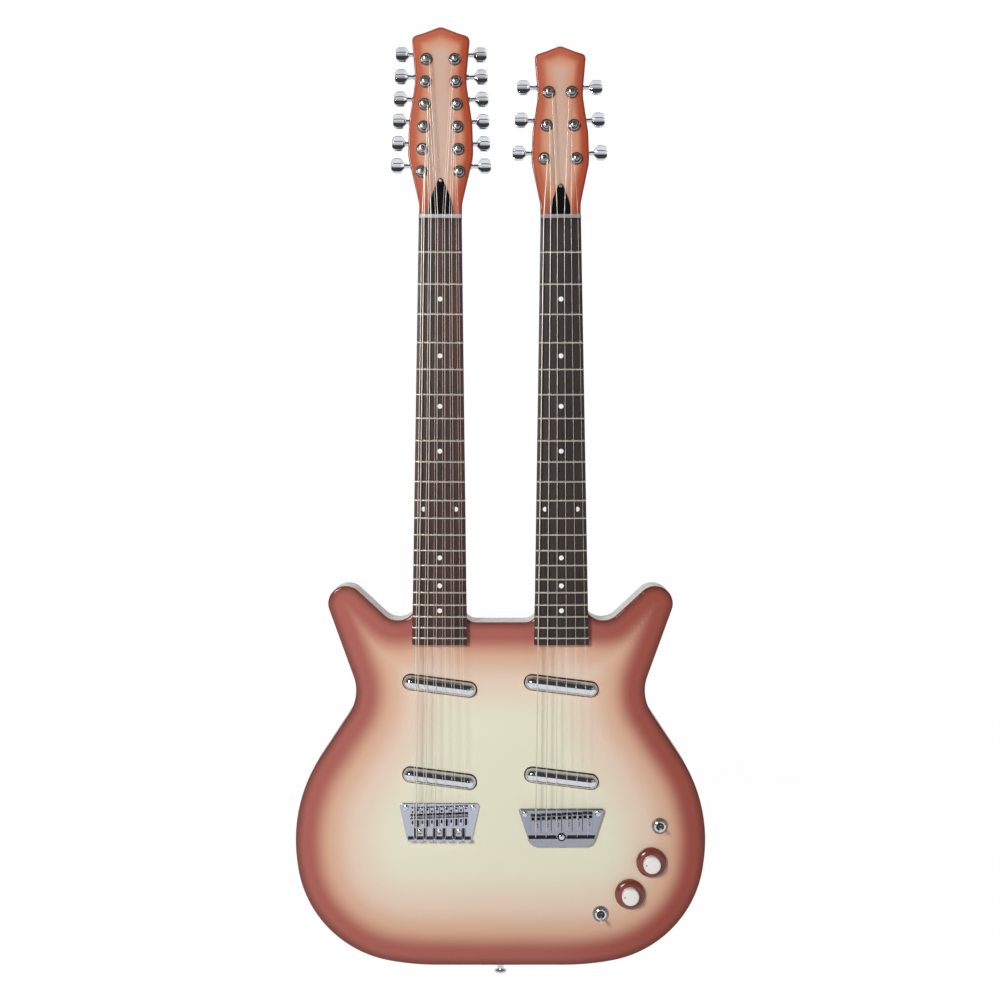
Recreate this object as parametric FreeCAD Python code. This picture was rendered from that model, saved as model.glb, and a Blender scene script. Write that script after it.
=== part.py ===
"""Double-neck guitar with a chambered body.

The twelve-string neck is on the bass side, the six-string neck on the treble side.

The guitar stands upright: its face looks towards -Y, its necks rise along +Z, its bass side is at -X.
The origin is where the end strap button seats on the bottom rim: on the centre line, at mid-depth.
Each neck, with its hardware and strings, is built on its own centre line and then set on the body.
"""
import math
import os

import FreeCAD
import Part

# Clearances, cutting overrun, and how many flat sides the small repeated pieces have
running_gap = 0.05
screw_gap = 0.1
seat_gap = 0.3
pocket_gap = 0.2
overrun = 6.0
turned_sides = 12
hidden_sides = 6

# Body: hardboard top and back on a wooden core, with tape round the sides
body_width = 444.0
body_height = 413.7
body_depth = 44.0
top_thick = 3.2
back_thick = 3.2
edge_round = 2.4
back_edge_chamfer = 1.6
tape_thick = 0.5
tape_overlap_width = 42.0
rim_width = 17.0
waist_drop = 17.5
waist_radius = 13.0
shoulder_height = 392.0
shoulder_half_width = 22.0
shoulder_foot = 9.0
shoulder_radius = 5.0
block_width_share = 0.5045
neck_block_foot_rise = 120.0
bridge_block_foot_drop = 52.0
bridge_block_top_rise = 26.0

# Horn, waist and bouts: shares of half the width, of the height, and of half the width for the radius
bout_outline_shares = [
    (0.493, 0.889, 0.095),
    (0.949, 1.117, 0.086),
    (0.679, 0.712, 0.205),
    (1.029, 0.429, 0.760),
    (0.939, 0.051, 0.550),
    (0.427, 0.000, 1.290),
]

# Where the necks lie
neck_spacing = 131.8
neck_splay_degrees = 0.2
bridge_below_shoulder = 222.0
scale_length = 635.0
fret_count = 21

# Fingerboards, frets and nuts
board_rise = 9.0
board_thick = 5.0
board_crown_radius = 305.0
board_tail = 7.5
fret_height = 1.0
fret_width = 2.4
fret_inset = 0.4
nut_thick = 5.2
nut_over_board = 2.3
nut_string_rise = 1.6
nut_slot_gap = 0.15

# Necks
neck_depth_nut = 21.5
neck_depth_heel = 24.0
heel_inset = 1.0
tongue_length = 30.0
tongue_width = 50.0
truss_rod_diameter = 6.0
truss_rod_end_margin = 12.0
headstock_face_drop = 7.5
headstock_thick = 14.0
headstock_edge_chamfer = 1.4
headstock_back_run = 26.0
headstock_back_rise = 6.0

# Bottle-shaped headstock: shares of its half width, of its length, and of its half width for the radius
headstock_outline_shares = [
    (1.020, 0.330, 1.50),
    (0.985, 0.500, 1.70),
    (0.785, 0.720, 2.00),
    (0.905, 0.946, 0.13),
    (0.520, 0.966, 0.90),
]
headstock_foot_length = 16.0
headstock_foot_radius = 45.0
headstock_peak_over = 1.6
headstock_peak_radius = 9.0

# Truss-rod covers
cover_thick = 1.8
cover_side_share = 0.32
cover_tip_radius = 3.0
cover_tip_over = 2.6

# Tuners: gear housing behind the headstock, bushing through it, string post and button
post_diameter = 6.0
post_rise = 9.6
post_depth_in_housing = 6.0
post_chamfer = 1.3
bushing_hole_diameter = 10.0
bushing_collar_diameter = 13.6
bushing_collar_top_diameter = 10.4
bushing_rise = 2.8
housing_width = 14.0
housing_length = 20.0
housing_thick = 10.0
housing_below_post = 6.5
housing_chamfer = 2.0
housing_nose_diameter = 7.6
housing_nose_length = 7.0
worm_offset = 8.3
button_shaft_diameter = 4.0
button_shaft_start = 2.0
button_reach = 33.4
button_length = 14.0
button_width = 16.0
button_thick = 7.4
button_neck_width = 7.0
button_edge_thick = 2.2
button_flank_share = 0.30
button_tip_share = 0.80
button_tip_width = 10.5

# Pickups: chrome tubes held by screws from the back
pickup_length = 79.0
pickup_diameter = 15.6
pickup_rise = 9.2
pickup_slot_gap = 1.2
pickup_slant_degrees = 7.2
neck_pickup_rise = 136.0
bridge_pickup_rise = 35.5
bracket_thick = 2.0
bracket_width = 10.0
pickup_screw_spacing = 56.0
pickup_screw_diameter = 3.0
pickup_screw_head_diameter = 5.6
pickup_screw_head_height = 1.8

# Bridges
string_rise_at_bridge = 12.9
saddle_slant = 2.4
saddle_crest_flat = 1.6
saddle_crest_slope = 5.0
saddle_string_gap = 0.12
saddle_gap = 0.35
saddle_tail_thick = 1.4
plate_thick = 2.0
plate_screw_head_diameter = 6.4
plate_screw_head_height = 1.4
plate_screw_shank_diameter = 3.0
plate_screw_shank_length = 14.0
plate_screw_inset_side = 5.2
plate_screw_inset_top = 5.0
lip_height = 9.5
lip_thick = 2.2
lip_slot_width = 4.4
lip_slot_depth = 4.2
lip_margin = 1.2
lower_screw_spacing = 21.0
lower_screw_rise = 9.0
tray_rise = 4.6
tray_slot_height = 4.4
tray_slot_rise = 9.8
tray_slot_margin = 4.0
height_screw_diameter = 4.0
height_screw_head_diameter = 7.2
height_screw_head_height = 1.6
height_screw_length = 16.0
string_anchor_drop = 1.0

# Strings
string_bend_radius = 2.5
string_nut_bend_radius = 12.0
string_wind_rise = 6.2

# Controls: places on the face as shares of half the body's width and of its height
switch_place_shares = {"upper": (0.7761, 0.3701), "lower": (0.4892, 0.1373)}
knob_place_shares = {"six": (0.7342, 0.2756), "twelve": (0.6306, 0.1917)}
pot_diameter = 24.0
pot_depth = 13.0
pot_bushing_diameter = 9.6
pot_bushing_rise = 4.2
pot_nut_width = 13.0
pot_nut_thick = 2.2
outer_shaft_diameter = 6.4
inner_shaft_diameter = 4.0
shaft_depth_in_pot = 8.0
ring_knob_diameter = 30.6
ring_knob_height = 8.4
ring_knob_chamfer = 2.2
ring_knob_lift = 0.6
ring_knob_hollow_diameter = 16.4
ring_knob_web = 2.6
top_knob_diameter = 19.6
top_knob_height = 11.4
top_knob_chamfer = 1.2
switch_body_width = 12.6
switch_body_length = 13.2
switch_body_depth = 12.0
switch_bushing_diameter = 6.0
switch_bushing_rise = 7.0
switch_nut_diameter = 11.0
switch_nut_thick = 2.2
switch_washer_diameter = 16.4
switch_washer_thick = 1.0
switch_cone_diameter = 5.0
switch_pivot_rise = 1.6
switch_throw_degrees = 12.0
lever_pivot_diameter = 2.0
lever_pivot_length = 3.6
lever_shaft_diameter = 1.9
lever_tip_diameter = 3.3
lever_length = 17.5

# Output jack in the lower rim, on the treble side
jack_angle_degrees = -34.0
jack_centre_share = 0.43
jack_bore_diameter = 6.5
jack_sleeve_diameter = 9.0
jack_sleeve_length = 30.0
jack_nut_width = 12.6
jack_nut_thick = 2.4
jack_washer_diameter = 16.0
jack_washer_thick = 0.8

# Neck screws, cup washers and strap buttons
neck_screw_diameter = 4.2
neck_screw_head_diameter = 8.4
neck_screw_head_height = 2.2
neck_screw_length = 38.0
cup_washer_diameter = 13.0
cup_washer_thick = 1.6
neck_screw_side_spacing = 36.0
neck_screw_row_margin = 11.0
strap_stem_diameter = 7.0
strap_head_diameter = 13.6
strap_base_diameter = 10.5
strap_base_length = 2.0
strap_length = 14.4
strap_head_length = 3.8
strap_screw_diameter = 3.6
strap_screw_length = 18.0
rear_strap_place_share = (-0.6757, 0.8509)

face_y = -body_depth / 2
back_y = body_depth / 2
board_top_y = face_y - board_rise
board_under_y = board_top_y + board_thick
headstock_face_y = board_top_y + headstock_face_drop
headstock_back_y = headstock_face_y + headstock_thick
pocket_floor_y = board_top_y + neck_depth_heel
bridge_line_height = shoulder_height - bridge_below_shoulder
nut_height = bridge_line_height + scale_length
board_end_height = nut_height - scale_length * (1 - 2 ** (-fret_count / 12)) - board_tail
tongue_end_height = board_end_height - tongue_length
heel_top_height = shoulder_height - heel_inset
waist_height = shoulder_height - waist_drop
block_half_width = body_width / 2 * block_width_share

twelve = {
    "name": "12",
    "side": -1,
    "nut_width": 45.5,
    "end_width": 58.9,
    "headstock_length": 201.5,
    "headstock_half_width": 34.0,
    "cover_length": 39.6,
    "cover_half_width": 11.4,
    "post_rows": 6,
    "first_post_rise": 49.6,
    "post_pitch": 23.5,
    "post_half_spacing": 19.95,
    "post_closing": 1.0,
    "plate_top_width": 87.6,
    "plate_foot_width": 70.4,
    "plate_top_rise": 8.6,
    "plate_foot_drop": 31.6,
    "plate_corner_radius": 3.5,
    "plate_foot_radius": 3.0,
    "saddle_setback": 5.5,
    "saddle_front": 6.5,
    "saddle_rear": 11.0,
    "course_spacing_nut": 7.2,
    "course_spacing_bridge": 10.4,
    "pair_half_gap_nut": 1.15,
    "pair_half_gap_bridge": 1.45,
    "gauges": [0.66, 1.17, 0.46, 0.91, 0.30, 0.66, 0.20, 0.43, 0.33, 0.33, 0.25, 0.25],
}
six = {
    "name": "6",
    "side": 1,
    "nut_width": 42.8,
    "end_width": 58.4,
    "headstock_length": 181.6,
    "headstock_half_width": 30.0,
    "cover_length": 31.4,
    "cover_half_width": 10.1,
    "post_rows": 3,
    "first_post_rise": 63.3,
    "post_pitch": 34.7,
    "post_half_spacing": 17.05,
    "post_closing": 2.5,
    "plate_top_width": 93.8,
    "plate_foot_width": 67.0,
    "plate_top_rise": 2.6,
    "plate_foot_drop": 39.1,
    "plate_corner_radius": 2.5,
    "plate_foot_radius": 11.0,
    "saddle_setback": 8.0,
    "saddle_front": 5.5,
    "saddle_rear": 14.0,
    "course_spacing_nut": 7.2,
    "course_spacing_bridge": 11.2,
    "pair_half_gap_nut": 0,
    "pair_half_gap_bridge": 0,
    "gauges": [1.17, 0.91, 0.66, 0.43, 0.33, 0.25],
}
necks = [twelve, six]
course_count = 6


def place_on_face(shares):
    """Point on the body's face from its shares of half the width and of the height."""
    return shares[0] * body_width / 2, shares[1] * body_height


switch_places = {name: place_on_face(shares) for name, shares in switch_place_shares.items()}
knob_places = {name: place_on_face(shares) for name, shares in knob_place_shares.items()}
rear_strap_place = place_on_face(rear_strap_place_share)
for neck in necks:
    neck["plate_top"] = bridge_line_height + neck["plate_top_rise"]
    neck["plate_foot"] = bridge_line_height - neck["plate_foot_drop"]


def vec(x, y, z):
    return FreeCAD.Vector(x, y, z)


def rounded_wire(corners):
    """Closed wire in the plane y = 0 through corners (x, z, radius), each rounded by a tangent arc.

    Where two arcs would meet past each other on a side, both shrink to what the side allows.
    """
    count = len(corners)
    points = [vec(x, 0, z) for x, z, radius in corners]
    half_angles = []
    setbacks = []
    for i in range(count):
        before = points[i - 1] - points[i]
        after = points[(i + 1) % count] - points[i]
        half_angles.append(before.getAngle(after) / 2)
        setbacks.append(corners[i][2] / math.tan(half_angles[i]))
    fits = []
    for i in range(count):
        following = (i + 1) % count
        side = (points[following] - points[i]).Length
        wanted = setbacks[i] + setbacks[following]
        fits.append(min(1.0, side / wanted) if wanted > 0 else 1.0)
    starts = []
    ends = []
    arcs = []
    for i in range(count):
        setback = setbacks[i] * min(fits[i - 1], fits[i])
        before = (points[i - 1] - points[i]).normalize()
        after = (points[(i + 1) % count] - points[i]).normalize()
        start = points[i] + before * setback
        end = points[i] + after * setback
        starts.append(start)
        ends.append(end)
        if setback > 0:
            radius = setback * math.tan(half_angles[i])
            inward = (before + after).normalize()
            middle = points[i] + inward * (radius / math.sin(half_angles[i]) - radius)
            arcs.append(Part.Arc(start, middle, end).toShape())
        else:
            arcs.append(None)
    edges = []
    for i in range(count):
        if arcs[i]:
            edges.append(arcs[i])
        following = (i + 1) % count
        if (starts[following] - ends[i]).Length > Part.Precision.confusion() * 10:
            edges.append(Part.LineSegment(ends[i], starts[following]).toShape())
    return Part.Wire(edges)


def mirrored(right_side):
    """Whole outline from its right side, which runs from the top down and leaves the centre line out."""
    left_side = [(-x, z, radius) for x, z, radius in reversed(right_side)]
    return right_side + left_side


def prism(wire, y_from, y_to):
    face = Part.Face(wire)
    face.translate(vec(0, y_from, 0))
    return face.extrude(vec(0, y_to - y_from, 0))


def block(x_from, x_to, y_from, y_to, z_from, z_to):
    return Part.makeBox(x_to - x_from, y_to - y_from, z_to - z_from, vec(x_from, y_from, z_from))


def rod(diameter, start, end):
    along = end - start
    return Part.makeCylinder(diameter / 2, along.Length, start, along)


def rod_y(diameter, x, z, y_from, y_to):
    return rod(diameter, vec(x, y_from, z), vec(x, y_to, z))


def cone_y(diameter_from, diameter_to, x, z, y_from, y_to):
    along = vec(0, y_to - y_from, 0)
    return Part.makeCone(diameter_from / 2, diameter_to / 2, along.Length, vec(x, y_from, z), along)


def hexagon_y(width, x, z, y_from, y_to):
    corner = width / math.sqrt(3)
    turns = [math.radians(60 * k) for k in range(7)]
    points = [vec(x + corner * math.cos(t), y_from, z + corner * math.sin(t)) for t in turns]
    return Part.Face(Part.makePolygon(points)).extrude(vec(0, y_to - y_from, 0))


def ring_points(sides, diameter, centre, across, up):
    """Corners of a regular polygon round a centre, in the plane of two square directions."""
    turns = [2 * math.pi * (k + 0.5) / sides for k in range(sides)]
    return [centre + (across * math.cos(turn) + up * math.sin(turn)) * (diameter / 2) for turn in turns]


def faceted_rod(sides, diameter_from, diameter_to, start, end):
    """Rod or cone with flat sides, for the small pieces that repeat many times."""
    along = (end - start).normalize()
    up = vec(0, 1, 0) if abs(along.y) < 0.5 else vec(0, 0, 1)
    across = up.cross(along).normalize()
    low = ring_points(sides, diameter_from, start, across, up)
    high = ring_points(sides, diameter_to, end, across, up)
    faces = [Part.Face(Part.makePolygon(low + low[:1])), Part.Face(Part.makePolygon(high + high[:1]))]
    for i in range(sides):
        corners = [low[i - 1], low[i], high[i], high[i - 1], low[i - 1]]
        faces.append(Part.Face(Part.makePolygon(corners)))
    return Part.makeSolid(Part.makeShell(faces))


def faceted_rod_y(sides, diameter_from, diameter_to, x, z, y_from, y_to):
    return faceted_rod(sides, diameter_from, diameter_to, vec(x, y_from, z), vec(x, y_to, z))


def fused(shapes):
    return shapes[0].multiFuse(shapes[1:]).removeSplitter()


def set_on_body(shape, neck):
    """Moves a shape from the neck's own centre line to its place on the body."""
    placed = shape.copy()
    placed.rotate(vec(0, 0, bridge_line_height), vec(0, 1, 0), -neck["side"] * neck_splay_degrees)
    placed.translate(vec(neck["side"] * neck_spacing / 2, 0, 0))
    return placed


def save(node, shapes):
    shape = Part.makeCompound(shapes) if len(shapes) > 1 else shapes[0]
    shape.exportStep("parts/" + node + ".step")
    state = "valid" if shape.isValid() else "NOT VALID"
    print(node, len(shape.Solids), "solids", round(shape.Volume), "mm3", state)


# Body

def neck_line(height):
    """Distance of a neck's centre line from the body's centre line at a height."""
    drift = (height - bridge_line_height) * math.tan(math.radians(neck_splay_degrees))
    return neck_spacing / 2 - drift


def body_corners():
    half = body_width / 2
    centre = neck_line(shoulder_height)
    inner = centre - shoulder_half_width
    outer = centre + shoulder_half_width
    right = [
        (inner - shoulder_foot, waist_height, waist_radius),
        (inner, shoulder_height, shoulder_radius),
        (outer, shoulder_height, shoulder_radius),
    ]
    for x_share, z_share, radius_share in bout_outline_shares:
        right.append((x_share * half, z_share * body_height, radius_share * half))
    return mirrored(right)


def body_wire(inset):
    wire = rounded_wire(body_corners())
    return wire.makeOffset2D(-inset) if inset else wire


def edges_on(solid, y, margin):
    """Edges of the outer outline of a flat solid that lie in the plane at y."""
    in_plane = [
        face for face in solid.Faces
        if abs(face.BoundBox.YMin - y) < margin and abs(face.BoundBox.YMax - y) < margin]
    return in_plane[0].OuterWire.Edges


def board_half_width(neck, height):
    run = (nut_height - height) / (nut_height - board_end_height)
    return (neck["nut_width"] + (neck["end_width"] - neck["nut_width"]) * run) / 2


def tapered_block(neck, gap, y_from, y_to, z_from, z_to):
    """Block as wide as the fingerboard all along, with a gap added at each side."""
    foot = board_half_width(neck, z_from) + gap
    head = board_half_width(neck, z_to) + gap
    corners = [(-foot, z_from, 0), (-head, z_to, 0), (head, z_to, 0), (foot, z_from, 0)]
    return prism(rounded_wire(corners), y_from, y_to)


def heel_cut(neck):
    """Opening for the heel: through the top where the board shows, under the top for the tongue."""
    open_part = tapered_block(
        neck, pocket_gap, face_y - overrun, pocket_floor_y, board_end_height, shoulder_height + overrun)
    half = tongue_width / 2 + pocket_gap
    tongue_part = block(
        -half, half, face_y + top_thick, pocket_floor_y, tongue_end_height - pocket_gap,
        board_end_height + overrun)
    return set_on_body(open_part.fuse(tongue_part), neck)


def pickup_tool(neck, height, length, width, y_from, y_to):
    """Upright block with round ends, slanted like the pickup at a height."""
    half = length / 2
    side = width / 2
    corners = [(-half, -side, side), (-half, side, side), (half, side, side), (half, -side, side)]
    tool = prism(rounded_wire(corners), y_from, y_to)
    tool.rotate(vec(0, 0, 0), vec(0, 1, 0), pickup_slant_degrees)
    tool.translate(vec(0, 0, height))
    return set_on_body(tool, neck)


def pickup_heights():
    return [bridge_line_height + neck_pickup_rise, bridge_line_height + bridge_pickup_rise]


def pickup_openings(y_from, y_to):
    length = pickup_length + 2 * pickup_slot_gap
    width = pickup_diameter + 2 * pickup_slot_gap
    return [
        pickup_tool(neck, height, length, width, y_from, y_to)
        for neck in necks for height in pickup_heights()]


def neck_screw_places():
    """Four screw places of each neck, on the neck's centre line."""
    side = neck_screw_side_spacing / 2
    low = tongue_end_height + neck_screw_row_margin
    high = heel_top_height - neck_screw_row_margin
    return [(x, z) for x in (-side, side) for z in (low, high)]


def neck_screw_holes(diameter, y_from, y_to):
    return [
        set_on_body(rod_y(diameter, x, z, y_from, y_to), neck)
        for neck in necks for x, z in neck_screw_places()]


def pickup_screw_places():
    """Two screw places of a pickup, measured from its middle."""
    turn = math.radians(pickup_slant_degrees)
    reach = pickup_screw_spacing / 2
    return [(side * reach * math.cos(turn), -side * reach * math.sin(turn)) for side in (-1, 1)]


def pickup_screw_holes(diameter, y_from, y_to):
    holes = []
    for neck in necks:
        for height in pickup_heights():
            for x, z in pickup_screw_places():
                holes.append(set_on_body(rod_y(diameter, x, height + z, y_from, y_to), neck))
    return holes


def bridge_screw_places(neck):
    """Places of the screws that hold a bridge plate down, on the neck's centre line."""
    side = neck["plate_top_width"] / 2 - plate_screw_inset_side - plate_screw_inset_top / 2
    row = neck["plate_top"] - plate_screw_inset_top
    places = [(-side, row), (side, row)]
    if neck is twelve:
        for step in (-1, 0, 1):
            places.append((step * lower_screw_spacing, neck["plate_foot"] + lower_screw_rise))
    return places


def height_screw_place():
    return 0, six["plate_foot"] + tray_slot_rise


def bridge_screw_holes(y_from, y_to):
    holes = []
    for neck in necks:
        for x, z in bridge_screw_places(neck):
            shank = rod_y(plate_screw_shank_diameter + 2 * screw_gap, x, z, y_from, y_to)
            holes.append(set_on_body(shank, neck))
    x, z = height_screw_place()
    shank = rod_y(height_screw_diameter + 2 * screw_gap, x, z, y_from, y_to)
    holes.append(set_on_body(shank, six))
    return holes


def control_holes(gap, y_from, y_to):
    holes = [rod_y(pot_bushing_diameter + 2 * gap, x, z, y_from, y_to) for x, z in knob_places.values()]
    holes += [rod_y(switch_bushing_diameter + 2 * gap, x, z, y_from, y_to) for x, z in switch_places.values()]
    return holes


def control_cavities(y_from):
    """Room for the pots and switch cases in the core under the top."""
    cavities = []
    for x, z in knob_places.values():
        cavities.append(rod_y(pot_diameter + 2 * seat_gap, x, z, y_from, y_from + pot_depth + seat_gap))
    half_width = switch_body_width / 2 + seat_gap
    half_length = switch_body_length / 2 + seat_gap
    for x, z in switch_places.values():
        cavities.append(block(
            x - half_width, x + half_width, y_from, y_from + switch_body_depth + seat_gap,
            z - half_length, z + half_length))
    return cavities


def jack_axis():
    """Point on the rim's surface where the jack's axis leaves the body, and its outward direction."""
    turn = math.radians(jack_angle_degrees)
    outward = vec(math.cos(turn), 0, math.sin(turn))
    middle = vec(0, 0, body_height * jack_centre_share)
    ray = Part.LineSegment(middle, middle + outward * body_width).toShape()
    crossings = [pair[0] for pair in body_wire(0).distToShape(ray)[1]]
    far = max(crossings, key=lambda point: (point - middle).Length)
    edge = min(body_wire(0).Edges, key=lambda e: e.distToShape(Part.Vertex(far))[0])
    tangent = edge.tangentAt(edge.Curve.parameter(far))
    normal = vec(-tangent.z, 0, tangent.x)
    return far, normal if normal.dot(outward) > 0 else normal * -1


def strap_screw_hole():
    return rod(
        strap_screw_diameter + 2 * screw_gap, vec(0, 0, -overrun), vec(0, 0, strap_screw_length + overrun))


def rear_strap_hole():
    x, z = rear_strap_place
    return rod_y(
        strap_screw_diameter + 2 * screw_gap, x, z, back_y + overrun, back_y - strap_screw_length - overrun)


def jack_hole(diameter, length):
    point, normal = jack_axis()
    return rod(diameter, point + normal * overrun, point - normal * length)


def body_top():
    plate = prism(body_wire(0), face_y, face_y + top_thick)
    plate = plate.makeFillet(edge_round, edges_on(plate, face_y, edge_round / 2))
    low = face_y - overrun
    high = face_y + top_thick + overrun
    cuts = [heel_cut(neck) for neck in necks]
    cuts += pickup_openings(low, high)
    cuts += control_holes(screw_gap, low, high)
    cuts += bridge_screw_holes(low, high)
    return plate.cut(cuts)


def body_back():
    plate = prism(body_wire(0), back_y - back_thick, back_y)
    plate = plate.makeChamfer(back_edge_chamfer, edges_on(plate, back_y, back_edge_chamfer / 2))
    low = back_y - back_thick - overrun
    high = back_y + overrun
    cuts = neck_screw_holes(neck_screw_diameter + 2 * screw_gap, low, high)
    cuts += pickup_screw_holes(pickup_screw_diameter + 2 * screw_gap, low, high)
    cuts.append(rear_strap_hole())
    return plate.cut(cuts)


def body_core():
    """Wooden rim with a neck block and a bridge block between its sides."""
    low = face_y + top_thick
    high = back_y - back_thick
    whole = prism(body_wire(tape_thick), low, high)
    chamber = prism(body_wire(tape_thick + rim_width), low - overrun, high + overrun)
    rim = whole.cut(chamber)
    inside = prism(body_wire(tape_thick + rim_width), low, high)
    neck_block = inside.common(
        block(
            -block_half_width, block_half_width, low, high,
            bridge_line_height + neck_block_foot_rise, shoulder_height + overrun))
    bridge_block = inside.common(
        block(
            -block_half_width, block_half_width, low, high,
            bridge_line_height - bridge_block_foot_drop, bridge_line_height + bridge_block_top_rise))
    cuts = [heel_cut(neck) for neck in necks]
    cuts += pickup_openings(low - overrun, high + overrun)
    cuts += neck_screw_holes(neck_screw_diameter + 2 * screw_gap, low - overrun, high + overrun)
    cuts += bridge_screw_holes(low - overrun, face_y + plate_screw_shank_length + overrun)
    cuts += control_cavities(low)
    cuts += [strap_screw_hole(), rear_strap_hole()]
    cuts.append(jack_hole(jack_sleeve_diameter + 2 * screw_gap, jack_sleeve_length + overrun))
    return [piece.cut(cuts) for piece in (rim, neck_block, bridge_block)]


def edge_tape():
    """Textured tape round the sides, broken at the two heels, with an overlap under the strap button."""
    low = face_y + top_thick
    high = back_y - back_thick
    ring = prism(body_wire(0), low, high).cut(prism(body_wire(tape_thick), low - overrun, high + overrun))
    cuts = [heel_cut(neck) for neck in necks]
    cuts.append(strap_screw_hole())
    cuts.append(jack_hole(jack_sleeve_diameter + 2 * screw_gap, jack_sleeve_length + overrun))
    ring = ring.cut(cuts)
    half = tape_overlap_width / 2
    overlap = block(-half, half, low, high, -tape_thick, 0).cut(strap_screw_hole())
    return [ring, overlap]


# Necks

def neck_section(neck, height, depth):
    """Rounded back of the neck at a height: flat under the board, one arc round the back."""
    half = board_half_width(neck, height)
    left = vec(-half, board_under_y, height)
    right = vec(half, board_under_y, height)
    back = vec(0, board_top_y + depth, height)
    edges = [Part.LineSegment(left, right).toShape(), Part.Arc(right, back, left).toShape()]
    return Part.Wire(edges)


def headstock_wire(neck):
    half = neck["headstock_half_width"]
    length = neck["headstock_length"]
    foot = neck["nut_width"] / 2
    side = [(foot, nut_height, 0), (foot, nut_height + headstock_foot_length, headstock_foot_radius)]
    for x_share, z_share, radius_share in headstock_outline_shares:
        side.append((x_share * half, nut_height + z_share * length, radius_share * half))
    peak = [(0, nut_height + length + headstock_peak_over, headstock_peak_radius)]
    left = [(-x, z, radius) for x, z, radius in side]
    return rounded_wire(side + peak + left[::-1])


def post_places(neck):
    """Places of the string posts: (side, row, x, z), rows counted from the nut."""
    places = []
    for side in (-1, 1):
        for row in range(neck["post_rows"]):
            x = side * (neck["post_half_spacing"] - row * neck["post_closing"])
            z = nut_height + neck["first_post_rise"] + row * neck["post_pitch"]
            places.append((side, row, x, z))
    return places


def truss_rod(neck, gap):
    """Steel rod just under the fingerboard, which ends under the cover on the headstock."""
    centre_y = board_under_y + truss_rod_diameter / 2
    foot = vec(0, centre_y, board_end_height + truss_rod_end_margin - gap)
    head = vec(0, centre_y, nut_height + gap)
    return rod(truss_rod_diameter + 2 * gap, foot, head)


def neck_wood(neck):
    shaft = Part.makeLoft([
        neck_section(neck, heel_top_height, neck_depth_heel),
        neck_section(neck, nut_height, neck_depth_nut)], True, True)
    heel = tapered_block(neck, 0, board_under_y, pocket_floor_y, board_end_height, heel_top_height)
    half = tongue_width / 2
    tongue = block(-half, half, face_y + top_thick, pocket_floor_y, tongue_end_height, board_end_height)
    headstock = prism(headstock_wire(neck), headstock_face_y, headstock_back_y)
    rim_edges = [
        edge for edge in edges_on(headstock, headstock_face_y, headstock_edge_chamfer / 2)
        if edge.BoundBox.ZMax > nut_height + headstock_foot_length / 2]
    headstock = headstock.makeChamfer(headstock_edge_chamfer, rim_edges)
    seat = block(
        -neck["nut_width"] / 2, neck["nut_width"] / 2,
        board_under_y, headstock_back_y - headstock_back_rise, nut_height, nut_height + nut_thick)
    slope = [
        vec(0, headstock_back_y - headstock_back_rise, nut_height),
        vec(0, headstock_back_y, nut_height + headstock_back_run),
        vec(0, headstock_back_y + overrun, nut_height + headstock_back_run),
        vec(0, headstock_back_y + overrun, nut_height - overrun),
        vec(0, headstock_back_y - headstock_back_rise, nut_height - overrun)]
    scoop = Part.Face(Part.makePolygon(slope + slope[:1]))
    scoop.translate(vec(-neck["nut_width"], 0, 0))
    scoop = scoop.extrude(vec(2 * neck["nut_width"], 0, 0))
    throat = Part.makeLoft([
        neck_section(neck, nut_height, neck_depth_nut),
        neck_section(neck, nut_height + headstock_back_run, neck_depth_nut)], True, True)
    throat = throat.cut(block(
        -neck["nut_width"], neck["nut_width"], board_under_y - overrun, headstock_face_y,
        nut_height + nut_thick, nut_height + headstock_back_run + overrun))
    wood = fused([shaft, heel, tongue, headstock.cut(scoop), seat, throat])
    cuts = [truss_rod(neck, screw_gap)]
    for side, row, x, z in post_places(neck):
        cuts.append(rod_y(
            bushing_hole_diameter, x, z, headstock_face_y - overrun, headstock_back_y + overrun))
    for x, z in neck_screw_places():
        tip_y = back_y + cup_washer_thick - neck_screw_length - screw_gap
        cuts.append(rod_y(neck_screw_diameter + 2 * screw_gap, x, z, pocket_floor_y + overrun, tip_y))
    return wood.cut(cuts)


def board_section(neck, height):
    half = board_half_width(neck, height)
    drop = board_crown_radius - math.sqrt(board_crown_radius ** 2 - half ** 2)
    left = vec(-half, board_top_y + drop, height)
    right = vec(half, board_top_y + drop, height)
    corner_right = vec(half, board_under_y, height)
    corner_left = vec(-half, board_under_y, height)
    edges = [
        Part.Arc(left, vec(0, board_top_y, height), right).toShape(),
        Part.LineSegment(right, corner_right).toShape(),
        Part.LineSegment(corner_right, corner_left).toShape(),
        Part.LineSegment(corner_left, left).toShape()]
    return Part.Wire(edges)


def fingerboard(neck):
    return Part.makeLoft([board_section(neck, board_end_height), board_section(neck, nut_height)], True, True)


def fret_line(number):
    return nut_height - scale_length * (1 - 2 ** (-number / 12))


def fret(neck, number):
    """Fret wire: a slice of a ring that follows the crown of the board."""
    height = fret_line(number)
    half = board_half_width(neck, height) - fret_inset
    rings = []
    for radius in (board_crown_radius, board_crown_radius + fret_height):
        drop = radius - math.sqrt(radius ** 2 - half ** 2)
        top = board_top_y + board_crown_radius - radius
        across = [(-half, top + drop), (0, top), (half, top + drop)]
        rings.append([vec(x, y, height - fret_width / 2) for x, y in across])
    inner, outer = rings
    edges = [
        Part.Arc(*inner).toShape(),
        Part.LineSegment(inner[2], outer[2]).toShape(),
        Part.Arc(*outer).toShape(),
        Part.LineSegment(outer[0], inner[0]).toShape()]
    return Part.Face(Part.Wire(edges)).extrude(vec(0, 0, fret_width))


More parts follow.
